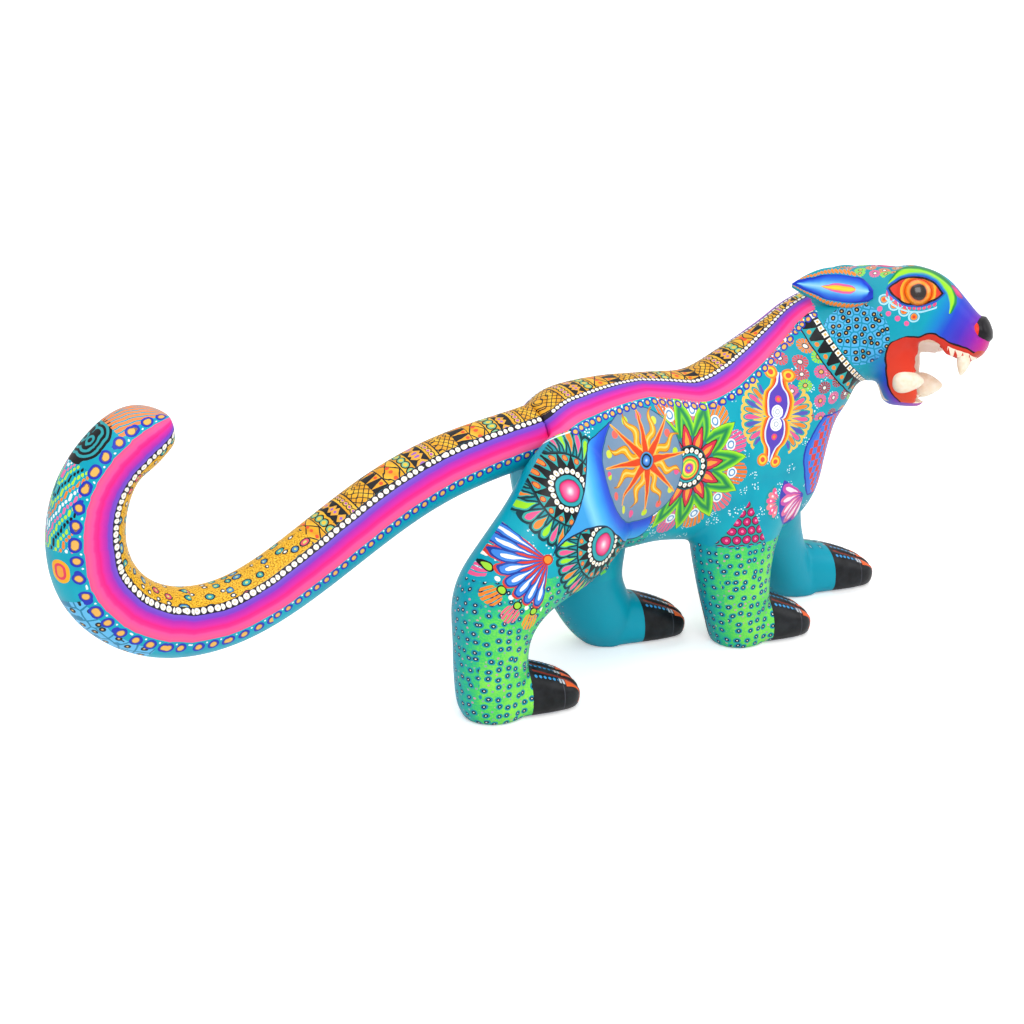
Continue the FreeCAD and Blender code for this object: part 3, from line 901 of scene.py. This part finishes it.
def stripes(under, along, edge, stripe, ring_place, ring_pitch, ring_radius, bead_pitch, bead_radius):
    """Violet to pink stripes with a bead row above them and a ring row below."""
    ring = spread(repeat(along, ring_pitch), edge - ring_place)
    star = spread(repeat(along, ring_pitch, 0.5), edge - (ring_place - ring_radius * 0.75))
    under = over(under, star < 0.42, "#e8f6fa")
    under = rings(under, ring, [(ring_radius, "#2238b8"), (ring_radius * 0.62, "#8c6a4a"),
                                (ring_radius * 0.52, "#f0b65a")])
    band = ramp(stripe, [(0.0, "#5a3fc4"), (0.12, "#6f55cc"), (0.28, "#7b3fc4"), (0.36, "#b42aae"),
                         (0.50, "#d82aa4"), (0.60, "#ee1f86"), (0.70, "#f5308c"), (0.76, "#f8509c"),
                         (0.90, "#fb5a92"), (1.0, "#f04f8a")])
    under = over(under, between(stripe, 0.0, 1.0), band)
    under = over(under, near(edge, 0.0, bead_radius + 0.45), "#241c2c")
    bead = spread(repeat(along, bead_pitch), edge)
    return rings(under, bead, [(bead_radius, WHITE), (bead_radius * 0.3, "#dccfae")])


# ---- Paint: regions ---------------------------------------------------------------------------

def start_paint(name):
    """New material, ready for its nodes."""
    material = bpy.data.materials.new(name)
    material.use_nodes = True
    tree = material.node_tree
    tree.nodes.clear()
    PAPER["tree"] = tree
    return material


def finish_paint(colour, roughness=0.38, coat=0.06, relief=0.00012, grain=1.2):
    """Satin paint over faint brush marks."""
    place = put("ShaderNodeTexCoord").outputs["Object"]
    marks = noise(place, grain * MM, 3.0)
    surface = put("ShaderNodeBsdfPrincipled")
    wear = calc("MULTIPLY_ADD", Field(marks.outputs["Fac"]), 0.14, roughness - 0.07)
    bump = put("ShaderNodeBump")
    bump.inputs["Strength"].default_value = 0.35
    bump.inputs["Distance"].default_value = relief
    feed(bump.inputs["Height"], Field(marks.outputs["Fac"]))
    feed(surface.inputs["Base Color"], colour)
    feed(surface.inputs["Roughness"], wear)
    surface.inputs["Specular IOR Level"].default_value = 0.2
    surface.inputs["Coat Weight"].default_value = coat
    surface.inputs["Coat Roughness"].default_value = 0.18
    feed(surface.inputs["Normal"], bump.outputs[0])
    output = put("ShaderNodeOutputMaterial")
    PAPER["tree"].links.new(surface.outputs[0], output.inputs[0])


def where_am_i():
    """Place in millimetres, with a painter's slight wobble, and the normal."""
    place = put("ShaderNodeTexCoord").outputs["Object"]
    scaled = put("ShaderNodeVectorMath", operation="SCALE")
    feed(scaled.inputs[0], place)
    scaled.inputs["Scale"].default_value = 1 / MM
    shake = noise(scaled.outputs[0], 5.0, 1.0)
    wobble = put("ShaderNodeVectorMath", operation="MULTIPLY_ADD")
    feed(wobble.inputs[0], shake.outputs["Color"])
    wobble.inputs[1].default_value = (0.9, 0.9, 0.9)
    feed(wobble.inputs[2], scaled.outputs[0])
    steady = vector_sum("SUBTRACT", wobble.outputs[0], tuple(0.45 - LAYOUT)).outputs[0]
    normal = put("ShaderNodeNewGeometry").outputs["Normal"]
    return steady, normal


def leg_paint(under, x, y, z, normal):
    """Lime over teal with dotted spots, on the outer sides of a lower leg."""
    nx, ny, _ = split(normal)
    side = calc("SIGN", y)
    facing = ny * side
    turned = absolute(nx) > absolute(ny)
    sheet_x = calc("MULTIPLY_ADD", turned, (y - x) + 31.0, x)
    sheet = point(sheet_x, z)
    cloud = Field(noise(sheet, 14.0, 2.0).outputs["Fac"])
    stipple = Field(noise(sheet, 0.8, 1.0).outputs["Fac"])
    high = calc("MAXIMUM", z - 36.0, 0.0)
    glow = cloud * 0.7 + facing * 0.6 + stipple * 0.4 - 0.5 - high * 0.01
    green = ramp(glow, [(0.0, "#009cae"), (0.22, "#10b492"), (0.45, "#46d060"), (0.75, "#8eea4e")])
    spots = cells(sheet, 4.6, 0.55)
    distance = Field(spots.outputs["Distance"])
    green = rings(green, distance, [(0.33, "#1190a8"), (0.19, "#0c2038"), (0.065, "#f4f4ea")])
    small = cells(shifted(sheet, (40.0, 17.0, 0.0)), 3.9, 0.7)
    speck = (Field(small.outputs["Distance"]) < 0.13) & (distance > 0.42)
    red, _, _ = split(small.outputs["Color"])
    green = over(green, speck, over("#8c9fae", red > 0.5, "#c98fae"))
    outer = soft_below(facing * -1.0, 0.25, 0.5)
    return over(under, outer, green)


def flank_material():
    """Everything on the trunk and the upper legs."""
    material = start_paint("painted_flanks")
    place, normal = where_am_i()
    x, y, z = split(place)
    _, ny, _ = split(normal)
    outward = (ny * calc("SIGN", y)) > 0.02
    run = x - absolute(y)
    on_left = y > 0.0
    level_x = x
    x = x - on_left * LEFT_SHIFT
    sheet = point(x, z)
    tone = Field(noise(sheet, 18.0, 2.0).outputs["Fac"])
    paint = ramp(tone, [(0.3, "#0096b0"), (0.7, "#00aabc")])
    paint = dash_clusters(paint, sheet, outward & (z > 60))
    hind = x < -45
    leg_line = calc("MULTIPLY_ADD", hind, 14.0, 56.0)
    below = calc("LESS_THAN", z, leg_line)
    paint = over(paint, below, leg_paint(paint, x, y, z, normal))
    neck = outward & (x > 24) & (z > 112)
    paint = rosettes(paint, sheet, 7.0, neck, ["#e0505a", "#9be22b", PINK, "#b03a4a", ORANGE])
    art = knee_fan(paint, sheet, (-114.6, 78.1))
    art = mandala(art, sheet, (-98.4, 104.5), 4.4, 7.9, 14.2, 25.0, 36)
    low_round = mandala(art, sheet, (-83.7, 78.1), 5.0, 9.2, 16.0, 27.0, 38)
    art = over(art, (z < (leaf_foot(x) + 1.0)) & (x > -111.5), low_round)
    art = star_flower(art, sheet, (-29.0, 100.5))
    oval = ((-54.8, 105.3), 22.0, 25.8)
    art = crescent(art, sheet, x, z, *oval)
    art = sunburst(art, sheet, (-52.9, 108.4), *oval)
    art = net_patch(art, x, z)
    art = petal_fan(art, sheet, (23.0, 75.0), 0.30, 0.72, 14, 9.0, [PINK, "#f2848e"], "#1596a0")
    art = petal_fan(art, sheet, (41.0, 74.5), 0.40, 0.78, 15, 18.0, ["#c64aa8", "#e56a9c"], "#3a3fb0")
    art = scroll_ornament(art, sheet, (21.5, 115.8))
    art = chest_patch(art, level_x, z, run)
    paint = over(paint, outward, art)
    along = field("along")
    edge = field("edge")
    paint = collar(paint, place)
    reach = between(field("stripe"), -3.0, 1.6)
    banded = stripes(paint, along, edge, field("stripe"), 14.0, 4.2, 1.75, BEAD_PITCH_BODY, 0.95)
    banded = over(banded, edge < -1.3, gold_panels(along, field("mid")))
    paint = over(paint, reach, banded)
    finish_paint(paint)
    return material


def collar(under, place):
    """Black band with teal points and a row of square white beads."""
    _, u, v, w = head_axes(place)
    ring = u * COLLAR_FORWARD + w * COLLAR_UP
    around = calc("ARCTAN2", v, w * COLLAR_FORWARD - u * COLLAR_UP - 3.0) / TURN
    under = over(under, between(ring, -25.2, -14.0), TEAL)
    under = over(under, between(ring, -25.2, -24.6), BLACK)
    under = over(under, between(ring, -24.0, -15.6), BLACK)
    tooth = (0.5 - zigzag(around * 30.0 + 300.0, 0.5)) * 5.6
    point_mask = (tooth < (-18.8 - ring) * 0.42) & between(ring, -24.0, -18.8)
    under = over(under, point_mask, "#2aa9a6")
    under = over(under, spread(tooth, ring + 22.4) < 0.95, ORANGE)
    bead = (0.5 - zigzag(around * 56.0 + 560.0, 0.5)) * 3.0
    under = over(under, (bead < 1.05) & near(ring, -17.0, 1.15), WHITE)
    return over(under, (bead < 0.5) & near(ring, -17.0, 0.55), TAN)


def leg_material():
    """Lower legs and paws."""
    material = start_paint("painted_legs")
    place, normal = where_am_i()
    x, y, z = split(place)
    paint = leg_paint(TEAL, x, y, z, normal)
    forward = field("paw_forward")
    sideways = field("paw_side")
    on_paw = (forward > 24.5) & (z < 27)
    cloud = Field(noise(place, 6.0, 2.0).outputs["Fac"])
    black = ramp(cloud, [(0.3, "#101114"), (0.7, "#26282c")])
    toe = zigzag(sideways + 10 * TOE_PITCH, TOE_PITCH / 2)
    from_toe = TOE_PITCH / 2 - toe
    up_face = between(sideways, -13.5, 13.5)
    dotted = (spread(repeat(forward, 2.2), from_toe) < 0.72) & between(forward, 26, 38.2)
    black = over(black, dotted & up_face, "#3f9fe0")
    black = over(black, (from_toe < 1.3) & between(forward, 38.6, 41.2) & up_face, "#c9cdd4")
    black = over(black, near(forward, 39.9, 0.25), "#3a3c44")
    claw = (from_toe < (49.5 - forward) * 0.26) & between(forward, 41.6, 49.5) & (z > 3.5)
    black = over(black, claw, "#f2652a")
    groove = (toe < 0.75) & (forward > 27) & (z > 3) & (absolute(sideways) < 9.5)
    black = over(black, groove, "#8a2f22")
    paint = over(paint, on_paw, black)
    finish_paint(paint)
    return material


def head_material():
    """Face: cheeks, eyes' surround, brows, muzzle, nose and mouth."""
    material = start_paint("painted_head")
    place, normal = where_am_i()
    offset, u, v, w = head_axes(place)
    out = absolute(v)
    facing = along_axis(normal, LEFT) * calc("SIGN", v)
    rise = along_axis(normal, UP)
    sheet = point(u, w)
    muzzle = u + w * -0.45
    paint = ramp(muzzle / 62.0, [(0.0, "#0098ac"), (0.44, "#00a0b8"), (0.53, "#0f83cc"), (0.62, "#2347cc"),
                                 (0.74, "#4a30c0"), (0.84, "#8424b0"), (0.95, "#c8248c")])
    crown_mask = (rise > 0.75) & (w > 12)
    top_sheet = point(u, v)
    paint = rosettes(paint, top_sheet, 6.0, crown_mask & (u < 20), [ORANGE, LIME, PINK, "#3fb4d8"])
    patch = spread((u + 2.5) / 15.5, (w + 6.0) / 14.5)
    pebbles = pebble_paint(sheet, 3.7, ("#56b6ea", "#0f8fb4", "#0d1a26"), (0.09, 0.30, 0.10))
    paint = over(paint, (patch < 1.0) & (facing > -0.2), pebbles)
    for number in range(4):
        drop = gap(sheet, (9.0 + 4.7 * number, 11.0 - 2.4 * number, 0.0))
        paint = over(paint, between(drop, 1.9, 2.6), "#a9e0f2")
        paint = rings(paint, drop, [(1.5, ORANGE), (0.7, "#e5402a")])
        spot = gap(sheet, (7.5 + 4.2 * number, 6.6 - 2.0 * number, 0.0))
        paint = over(paint, spot < 1.2, "#f0609a")
    paint = eye_surround(paint, sheet, facing)
    paint = brow_paint(paint, sheet, u, w, out)
    for centre in ((41.0, 7.0, 16.0), (7.0, 3.0, 26.0)):
        for hand in (-1, 1):
            spot = gap(offset, tuple(FORWARD * centre[0] + LEFT * centre[1] * hand + UP * centre[2]))
            paint = over(paint, spot < 4.0, ramp(spot / 4.0, [(0.3, "#f0488c"), (1.0, "#a0307c")]))
    paint = mouth_paint(paint, u, w, out, facing, rise, along_axis(normal, FORWARD))
    nose = size_of(point((u - 56.0) / 8.5, v / 15.5, (w + 0.5) / 6.3))
    paint = over(paint, nose < 1.0, "#17151a")
    comma = size_of(point((u - 49.5) / 3.4, 0.0, (w + 1.5) / 5.2))
    paint = over(paint, (nose < 1.0) & (comma < 1.0) & (facing > 0.0), "#e5331e")
    finish_paint(paint)
    return material


def brow_paint(under, sheet, u, w, out):
    """Green swoosh over the eye, lime next to the lid and dark outside, thin at both ends."""
    from_eye = gap(sheet, (22.5, 7.5, 0.0))
    reach = from_eye + calc("MAXIMUM", 13.0 - out, 0.0) * 0.7 - 16.2
    width = curve(u, [(0, 0.2), (9, 0.8), (14, 5.0), (20, 9.0), (27, 10.5), (35, 9.0), (42, 4.0)])
    taper = calc("MULTIPLY_ADD", w, 1 / 9.0, -0.55, clamp=True) + 0.02
    share = reach / (width * taper)
    green = ramp(share, [(0.0, "#2f6fc8"), (0.08, "#8fe02c"), (0.3, "#a6ea22"), (0.4, "#7fd82a"),
                         (0.5, "#1f9a3c"), (0.72, "#0f7a44"), (1.0, "#128a6a")])
    return over(under, between(share, 0.0, 1.0) & between(u, 10.0, 42.0) & (w > 6.0), green)


def eye_surround(under, sheet, facing):
    """Almond outlined in blue and black, red in the corners and orange by the eye."""
    upper = gap(sheet, (22.5, 7.5, 0.0))
    lower = gap(sheet, (23.0, 24.5, 0.0))
    almond = calc("MAXIMUM", upper - 14.2, lower - 14.6)
    on_side = facing > 0.0
    run, rise, _ = split(sheet)
    lid = on_side & (almond > 1.0) & between(run, 9.5, 33.0) & (rise < 22.5)
    dashes = spread(repeat(run, 2.2), lower - 16.9)
    under = over(under, lid & (dashes < 0.8), "#e2507e")
    under = over(under, lid & near(lower, 18.5, 0.4), "#a9e0f2")
    under = rings(under, almond, [(1.7, "#1d55c0"), (0.9, "#17131a"), (0.0, "#d9351f")], on_side)
    ring = gap(sheet, (24.0, 15.5, 0.0))
    return rings(under, ring, [(8.2, "#f6a21e"), (7.1, "#e8701c")], (almond < 0.0) & on_side)


def mouth_paint(under, u, w, out, facing, rise, ahead):
    """Red lips and gums, cream inside with painted shade at the back and a painted highlight towards the
    front, and the black line round them.
    """
    cheek_edge = curve(w, [(-41, 23), (-36, 18.5), (-31, 14.5), (-24, 12.6), (-12, 12.6), (-7, 17.5),
                           (-5, 26)])
    lip_edge = curve(u, [(20, -7), (26, -6.0), (31, -4.0), (36, -5.6), (41, -8.4), (46, -9.4),
                         (53, -12.5), (60, -14)])
    cheek = (u > cheek_edge) & (w < -6.0) & (u < 34.5)
    lip = (w < lip_edge) & (u > 24)
    red_mask = cheek | lip
    cheek_line = ((u + 0.9) > cheek_edge) & (w < -5.2) & (u < 34.5)
    jaw = calc("MULTIPLY_ADD", u - cheek_edge, 1 / 8.0, 1.15, clamp=True) * soft_below(w, -15.0, 9.0)
    jaw_paint = ramp(w * (-1 / 42.0), [(0.3, "#1478c4"), (0.65, "#2b50cc"), (0.85, "#7035c0"),
                                       (1.0, "#c42a98")])
    under = over(under, jaw & (u < 34.5), jaw_paint)
    lip_line = (w < (lip_edge + 0.9)) & (u > 24)
    under = over(under, cheek_line | lip_line, "#16080c")
    depth = ramp(w / -40.0, [(0.0, "#c8281c"), (0.5, "#dd3a22"), (1.0, "#e04a2c")])
    under = over(under, red_mask, depth)
    inward = (facing < -0.15) & ((w > -28.0) | (rise > -0.1)) & (ahead > -0.25)
    inside = inward & (u > 13) & between(w, -38, -5)
    # Cream inside the mouth: painted shade, peach, at the back, paling to a painted highlight, near white,
    # towards the front.
    cream_with_painted_shade_and_highlight = ramp((u - 12.0) / 16.0, [(0.0, "#f3c9ae"), (0.4, "#f9e7d2"), (1.0, "#fffaf2")])
    under = over(under, inside, cream_with_painted_shade_and_highlight)
    back_wall = (out < 10.5) & between(u, 8, 38.5) & between(w, -38, -6)
    under = over(under, back_wall, "#f6e2cb")
    palate = (rise < -0.5) & (out < 11) & (w > -24) & (u > 38)
    under = over(under, palate, "#c8402c")
    gum = (u > 39.0) & (u < 54.0) & (facing > 0.0)
    row = (0.5 - zigzag(u / 3.3, 0.5)) * 3.3
    tip = calc("MULTIPLY_ADD", u, -0.28, 1.0)
    tooth = gum & (row < (w - tip + 5.4) * 0.28) & (w < tip + 0.6) & (w < lip_edge - 1.6)
    under = over(under, tooth, "#fbeed8")
    chin = (w < -37.5) & (rise < 0.3)
    return over(under, chin, ramp((u + 5) / 40.0, [(0.0, "#1489b8"), (0.4, "#2f55c4"), (0.7, "#8a3ab4"),
                                                   (1.0, "#d02a8c")]))


def tail_material():
    """Bands down the tail, and the small patterns on the outside of its curl."""
    material = start_paint("painted_tail")
    place, _ = where_am_i()
    along = field("along")
    edge = field("edge")
    mid = field("mid")
    under_angle = field("under")
    tone = Field(noise(place, 20.0, 2.0).outputs["Fac"])
    paint = ramp(tone, [(0.3, "#009bb6"), (0.7, "#00adc2")])
    curl = along > 195.0
    paint = over(paint, curl, curl_paint(paint, along, mid, under_angle))
    outer = along > 150.0
    far = stripes(paint, along, edge, field("stripe"), 16.2, 6.4, 2.6, 3.3, 1.4)
    close = stripes(paint, along, edge, field("stripe"), 15.2, 5.0, 2.05, BEAD_PITCH_TAIL, 1.2)
    paint = over(close, outer, far)
    gold = over(gold_panels(along, mid), along > 118.0, gold_speckle(along, mid))
    paint = over(paint, edge < -1.7, gold)
    finish_paint(paint)
    return material


def curl_paint(under, along, mid, angle):
    """Cells, rings, dotted rows, a spiral and orange rays, from the bend to the tip."""
    outside = angle > 128
    sheet = point(along, mid)
    pebbles = pebble_paint(sheet, 5.4, ("#62bdec", "#1580a8", "#14202c"), (0.07, 0.26, 0.09))
    under = over(under, outside & between(along, 198, 232), pebbles)
    ring = spread(along - 242.0, mid - 38.5)
    under = rings(under, ring, [(4.2, "#f5b01e"), (2.7, "#e5405c"), (1.5, "#f0a03a")])
    slant = along + mid * 1.3
    row = calc("FLOOR", slant / 3.2)
    dot = spread(repeat(slant, 3.2), repeat(along - mid * 1.3, 3.0))
    share = calc("FRACT", row / 6.0 + 0.01)
    dots = ramp(share, [(0, "#b8e83a"), (0.167, "#f06aa0"), (0.333, "#e8f6fa"), (0.5, ORANGE),
                        (0.667, "#b8e83a"), (0.833, BLACK)], crisp=True)
    under = over(under, outside & between(along, 250, 278) & (dot < 1.15), dots)
    spiral = spread(along - 286.0, mid - 43.0)
    swirl = ramp(calc("FRACT", spiral / 2.4), [(0, BLACK), (0.5, "#2f9fa8")], crisp=True)
    under = over(under, spiral < 8.5, swirl)
    rays = zigzag(mid * 0.9 + along * 0.35, 1.1) > 0.35
    return over(under, outside & (along > 293) & rays, "#ee8a4a")


def ear_material(hand):
    """Leaf within a leaf: orange core, blues, and a dotted orange rim."""
    material = start_paint("painted_ear_" + ("left" if hand > 0 else "right"))
    place, _ = where_am_i()
    _, u, _, w = head_axes(place)
    height = w + (u - 3.0) * 0.054 - 14.3
    outer = leaf_share(u + 35.0, height, 41.0, 9.4)
    paint = ramp(outer, [(0.0, "#1230b0"), (0.5, "#1a3fd0"), (0.66, "#12299c"), (0.69, "#2f9ad0"),
                         (0.74, "#169fae"), (1.0, "#159aa8")])
    middle_leaf = leaf_share(u + 31.0, height, 33.0, 6.2)
    blues = ramp(middle_leaf, [(0.0, "#9fdcf6"), (0.3, "#6fc0f4"), (0.55, "#3f8cea"), (0.8, "#2560dc"),
                               (1.0, "#1a3fd0")])
    paint = over(paint, middle_leaf < 1.0, blues)
    core = leaf_share(u + 20.0, height, 16.0, 2.3)
    paint = over(paint, core < 1.0, ramp(core, [(0.0, "#f6e03a"), (0.45, "#f7c23a"), (0.6, "#f0609a"),
                                                (1.0, "#e86ab8")]))
    run = calc("FRACT", (u + absolute(height) * 0.6) / 1.9 + 40.0) - 0.5
    dot = spread(run * 1.9, (outer - 0.83) * 7.5)
    paint = over(paint, dot < 0.85, ORANGE)
    finish_paint(paint)
    return material


def leaf_share(along, height, length, half_height):
    """From nought on the middle line of a leaf to one at its edge; widest past the middle."""
    share = calc("MINIMUM", calc("MAXIMUM", along / length, 0.0), 1.0)
    half = curve(share, [(0, 0.03), (0.25, 0.55), (0.55, 1.0), (0.8, 0.92), (0.94, 0.55), (1, 0.03)])
    beyond = absolute(along / length - share)
    return absolute(height) / (half * half_height) + beyond * 40.0


def eye_material(hand):
    """Large dark pupil and an orange ring under a clear coat."""
    material = start_paint("glass_eye_" + ("left" if hand > 0 else "right"))
    place, _ = where_am_i()
    outward = unit(LEFT * hand + FORWARD * 0.25 + UP * 0.25)
    centre = HEAD + FORWARD * EYE_FORWARD + LEFT * hand * 18.0 + UP * EYE_UP
    offset = shifted(place, tuple(centre))
    depth = along_axis(offset, outward)
    reach = size_of(offset)
    radius = calc("SQRT", calc("MAXIMUM", reach * reach - depth * depth, 0.0))
    paint = ramp(radius / 6.5, [(0.0, "#2c2422"), (0.5, "#2a1c18"), (0.57, "#4a2412"), (0.62, "#e06a1a"),
                                (0.74, "#f9a21e"), (0.86, "#f4871a"), (0.97, "#e0461e"), (1.0, "#d9351f")])
    finish_paint(paint, roughness=0.16, coat=1.0, relief=0.00002)
    return material


def plain_material(name, low, high, scale, roughness, coat=0.2):
    """Two tones in soft clouds."""
    material = start_paint(name)
    place, _ = where_am_i()
    cloud = Field(noise(place, scale, 3.0).outputs["Fac"])
    finish_paint(ramp(cloud, [(0.35, low), (0.65, high)]), roughness, coat)
    return material


def ivory_material():
    """Ivory paint in soft clouds of two tones."""
    material = start_paint("ivory_paint")
    place, _ = where_am_i()
    cloud = Field(noise(place, 3.0, 3.0).outputs["Fac"])
    finish_paint(ramp(cloud, [(0.3, "#f3dfc0"), (0.7, "#fdf3e2")]), 0.3, 0.4)
    return material


def wood_material():
    """Bare wood with grain along the peg."""
    material = start_paint("bare_wood")
    place, _ = where_am_i()
    x, y, z = split(place)
    grain = Field(noise(point(x * 0.12, y, z), 1.4, 4.0).outputs["Fac"])
    finish_paint(ramp(grain, [(0.3, "#a9743f"), (0.7, "#dcb179")]), 0.6, 0.0)
    return material


# ---- Pieces -------------------------------------------------------------------------------------

def paint_regions(piece, points):
    """Gives each face the flank, leg or head paint."""
    piece.data.materials.append(flank_material())
    piece.data.materials.append(leg_material())
    piece.data.materials.append(head_material())
    offset = points - HEAD
    ring = (offset @ FORWARD) * COLLAR_FORWARD + (offset @ UP) * COLLAR_UP
    starts = np.array([polygon.loop_start for polygon in piece.data.polygons])
    loops = np.zeros(len(piece.data.loops), np.int32)
    piece.data.loops.foreach_get("vertex_index", loops)
    first = loops[starts]
    index = np.zeros(len(first), np.int32)
    index[points[first, 2] < 40] = 1
    index[(ring[first] > -14.5) & (points[first, 2] > 90)] = 2
    piece.data.polygons.foreach_set("material_index", index)


def build_body():
    """Carved and painted body."""
    piece = even_skin("body", "carved_body", BODY_VOXEL)
    forward, sideways = paw_fields(piece)
    carve_toes(piece, forward, sideways)
    carve_face(piece)
    body_fields(piece)
    paint_regions(piece, points_of(piece))
    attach(piece, "figure")
    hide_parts("body")


def build_tail():
    """Painted tail."""
    piece = even_skin("tail", "carved_tail", TAIL_VOXEL)
    tail_fields(piece)
    piece.data.materials.append(tail_material())
    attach(piece, "tail")
    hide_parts("tail")


def dress_node(node, material):
    """Paints a CAD node that is shown as it is."""
    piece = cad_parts[node]
    piece.data.materials.clear()
    piece.data.materials.append(material)


def build_inserts():
    """Ears, eyes, fangs, tongue and peg."""
    ivory = ivory_material()
    for hand, name in ((-1, "right"), (1, "left")):
        dress_node("ear_" + name, ear_material(hand))
        dress_node("eye_" + name, eye_material(hand))
        dress_node("upper_fang_" + name, ivory)
        dress_node("lower_fang_" + name, ivory)
    dress_node("tongue", plain_material("red_paint", "#c02a2a", "#e0524a", 3.0, 0.3, 0.4))
    dress_node("tail_peg", wood_material())


# ---- Studio -------------------------------------------------------------------------------------

def build_floor():
    """Pale floor."""
    bpy.ops.mesh.primitive_plane_add(size=14, location=(0, 0, -0.0002))
    floor = bpy.context.object
    floor.name = "floor"
    material = start_paint("pale_floor")
    surface = put("ShaderNodeBsdfPrincipled")
    surface.inputs["Base Color"].default_value = (0.93, 0.93, 0.93, 1)
    surface.inputs["Roughness"].default_value = 0.6
    seen = Field(put("ShaderNodeLightPath").outputs["Is Camera Ray"])
    surface.inputs["Emission Color"].default_value = (1, 1, 1, 1)
    feed(surface.inputs["Emission Strength"], seen * 0.4)
    output = put("ShaderNodeOutputMaterial")
    PAPER["tree"].links.new(surface.outputs[0], output.inputs[0])
    floor.data.materials.append(material)


def aim(thing, target):
    """Turns a camera or lamp to face a point."""
    thing.rotation_mode = "QUATERNION"
    thing.rotation_quaternion = (Vector(target) - thing.location).to_track_quat("-Z", "Y")


def add_lamp(name, place, size, power):
    """Square soft light."""
    data = bpy.data.lights.new(name, "AREA")
    data.size = size
    data.energy = power
    lamp = bpy.data.objects.new(name, data)
    bpy.context.scene.collection.objects.link(lamp)
    lamp.location = place
    aim(lamp, LAMP_TARGET)


def build_studio():
    """Floor, lights, world and camera."""
    build_floor()
    add_lamp("key", (-0.7, -1.3, 1.6), 1.2, 18)
    add_lamp("fill", (1.4, -1.0, 1.1), 1.2, 7)
    add_lamp("top", (-0.1, 0.2, 1.9), 1.6, 11)
    world = bpy.data.worlds.new("studio")
    world.use_nodes = True
    PAPER["tree"] = world.node_tree
    sky = world.node_tree.nodes["Background"]
    sky.inputs[0].default_value = (1, 1, 1, 1)
    seen = Field(put("ShaderNodeLightPath").outputs["Is Camera Ray"])
    feed(sky.inputs[1], calc("MULTIPLY_ADD", seen, 0.38, 0.67))
    bpy.context.scene.world = world
    target = Vector(VIEW_TARGET)
    level = math.cos(VIEW_ELEVATION)
    back = Vector((math.sin(VIEW_AZIMUTH) * level, -math.cos(VIEW_AZIMUTH) * level, math.sin(VIEW_ELEVATION)))
    data = bpy.data.cameras.new("camera")
    data.lens = VIEW_LENS
    camera = bpy.data.objects.new("camera", data)
    bpy.context.scene.collection.objects.link(camera)
    camera.location = target + back
    aim(camera, target)
    bpy.context.scene.camera = camera
    bpy.context.scene.view_settings.view_transform = "Standard"


build_body()
build_tail()
build_inserts()
build_studio()
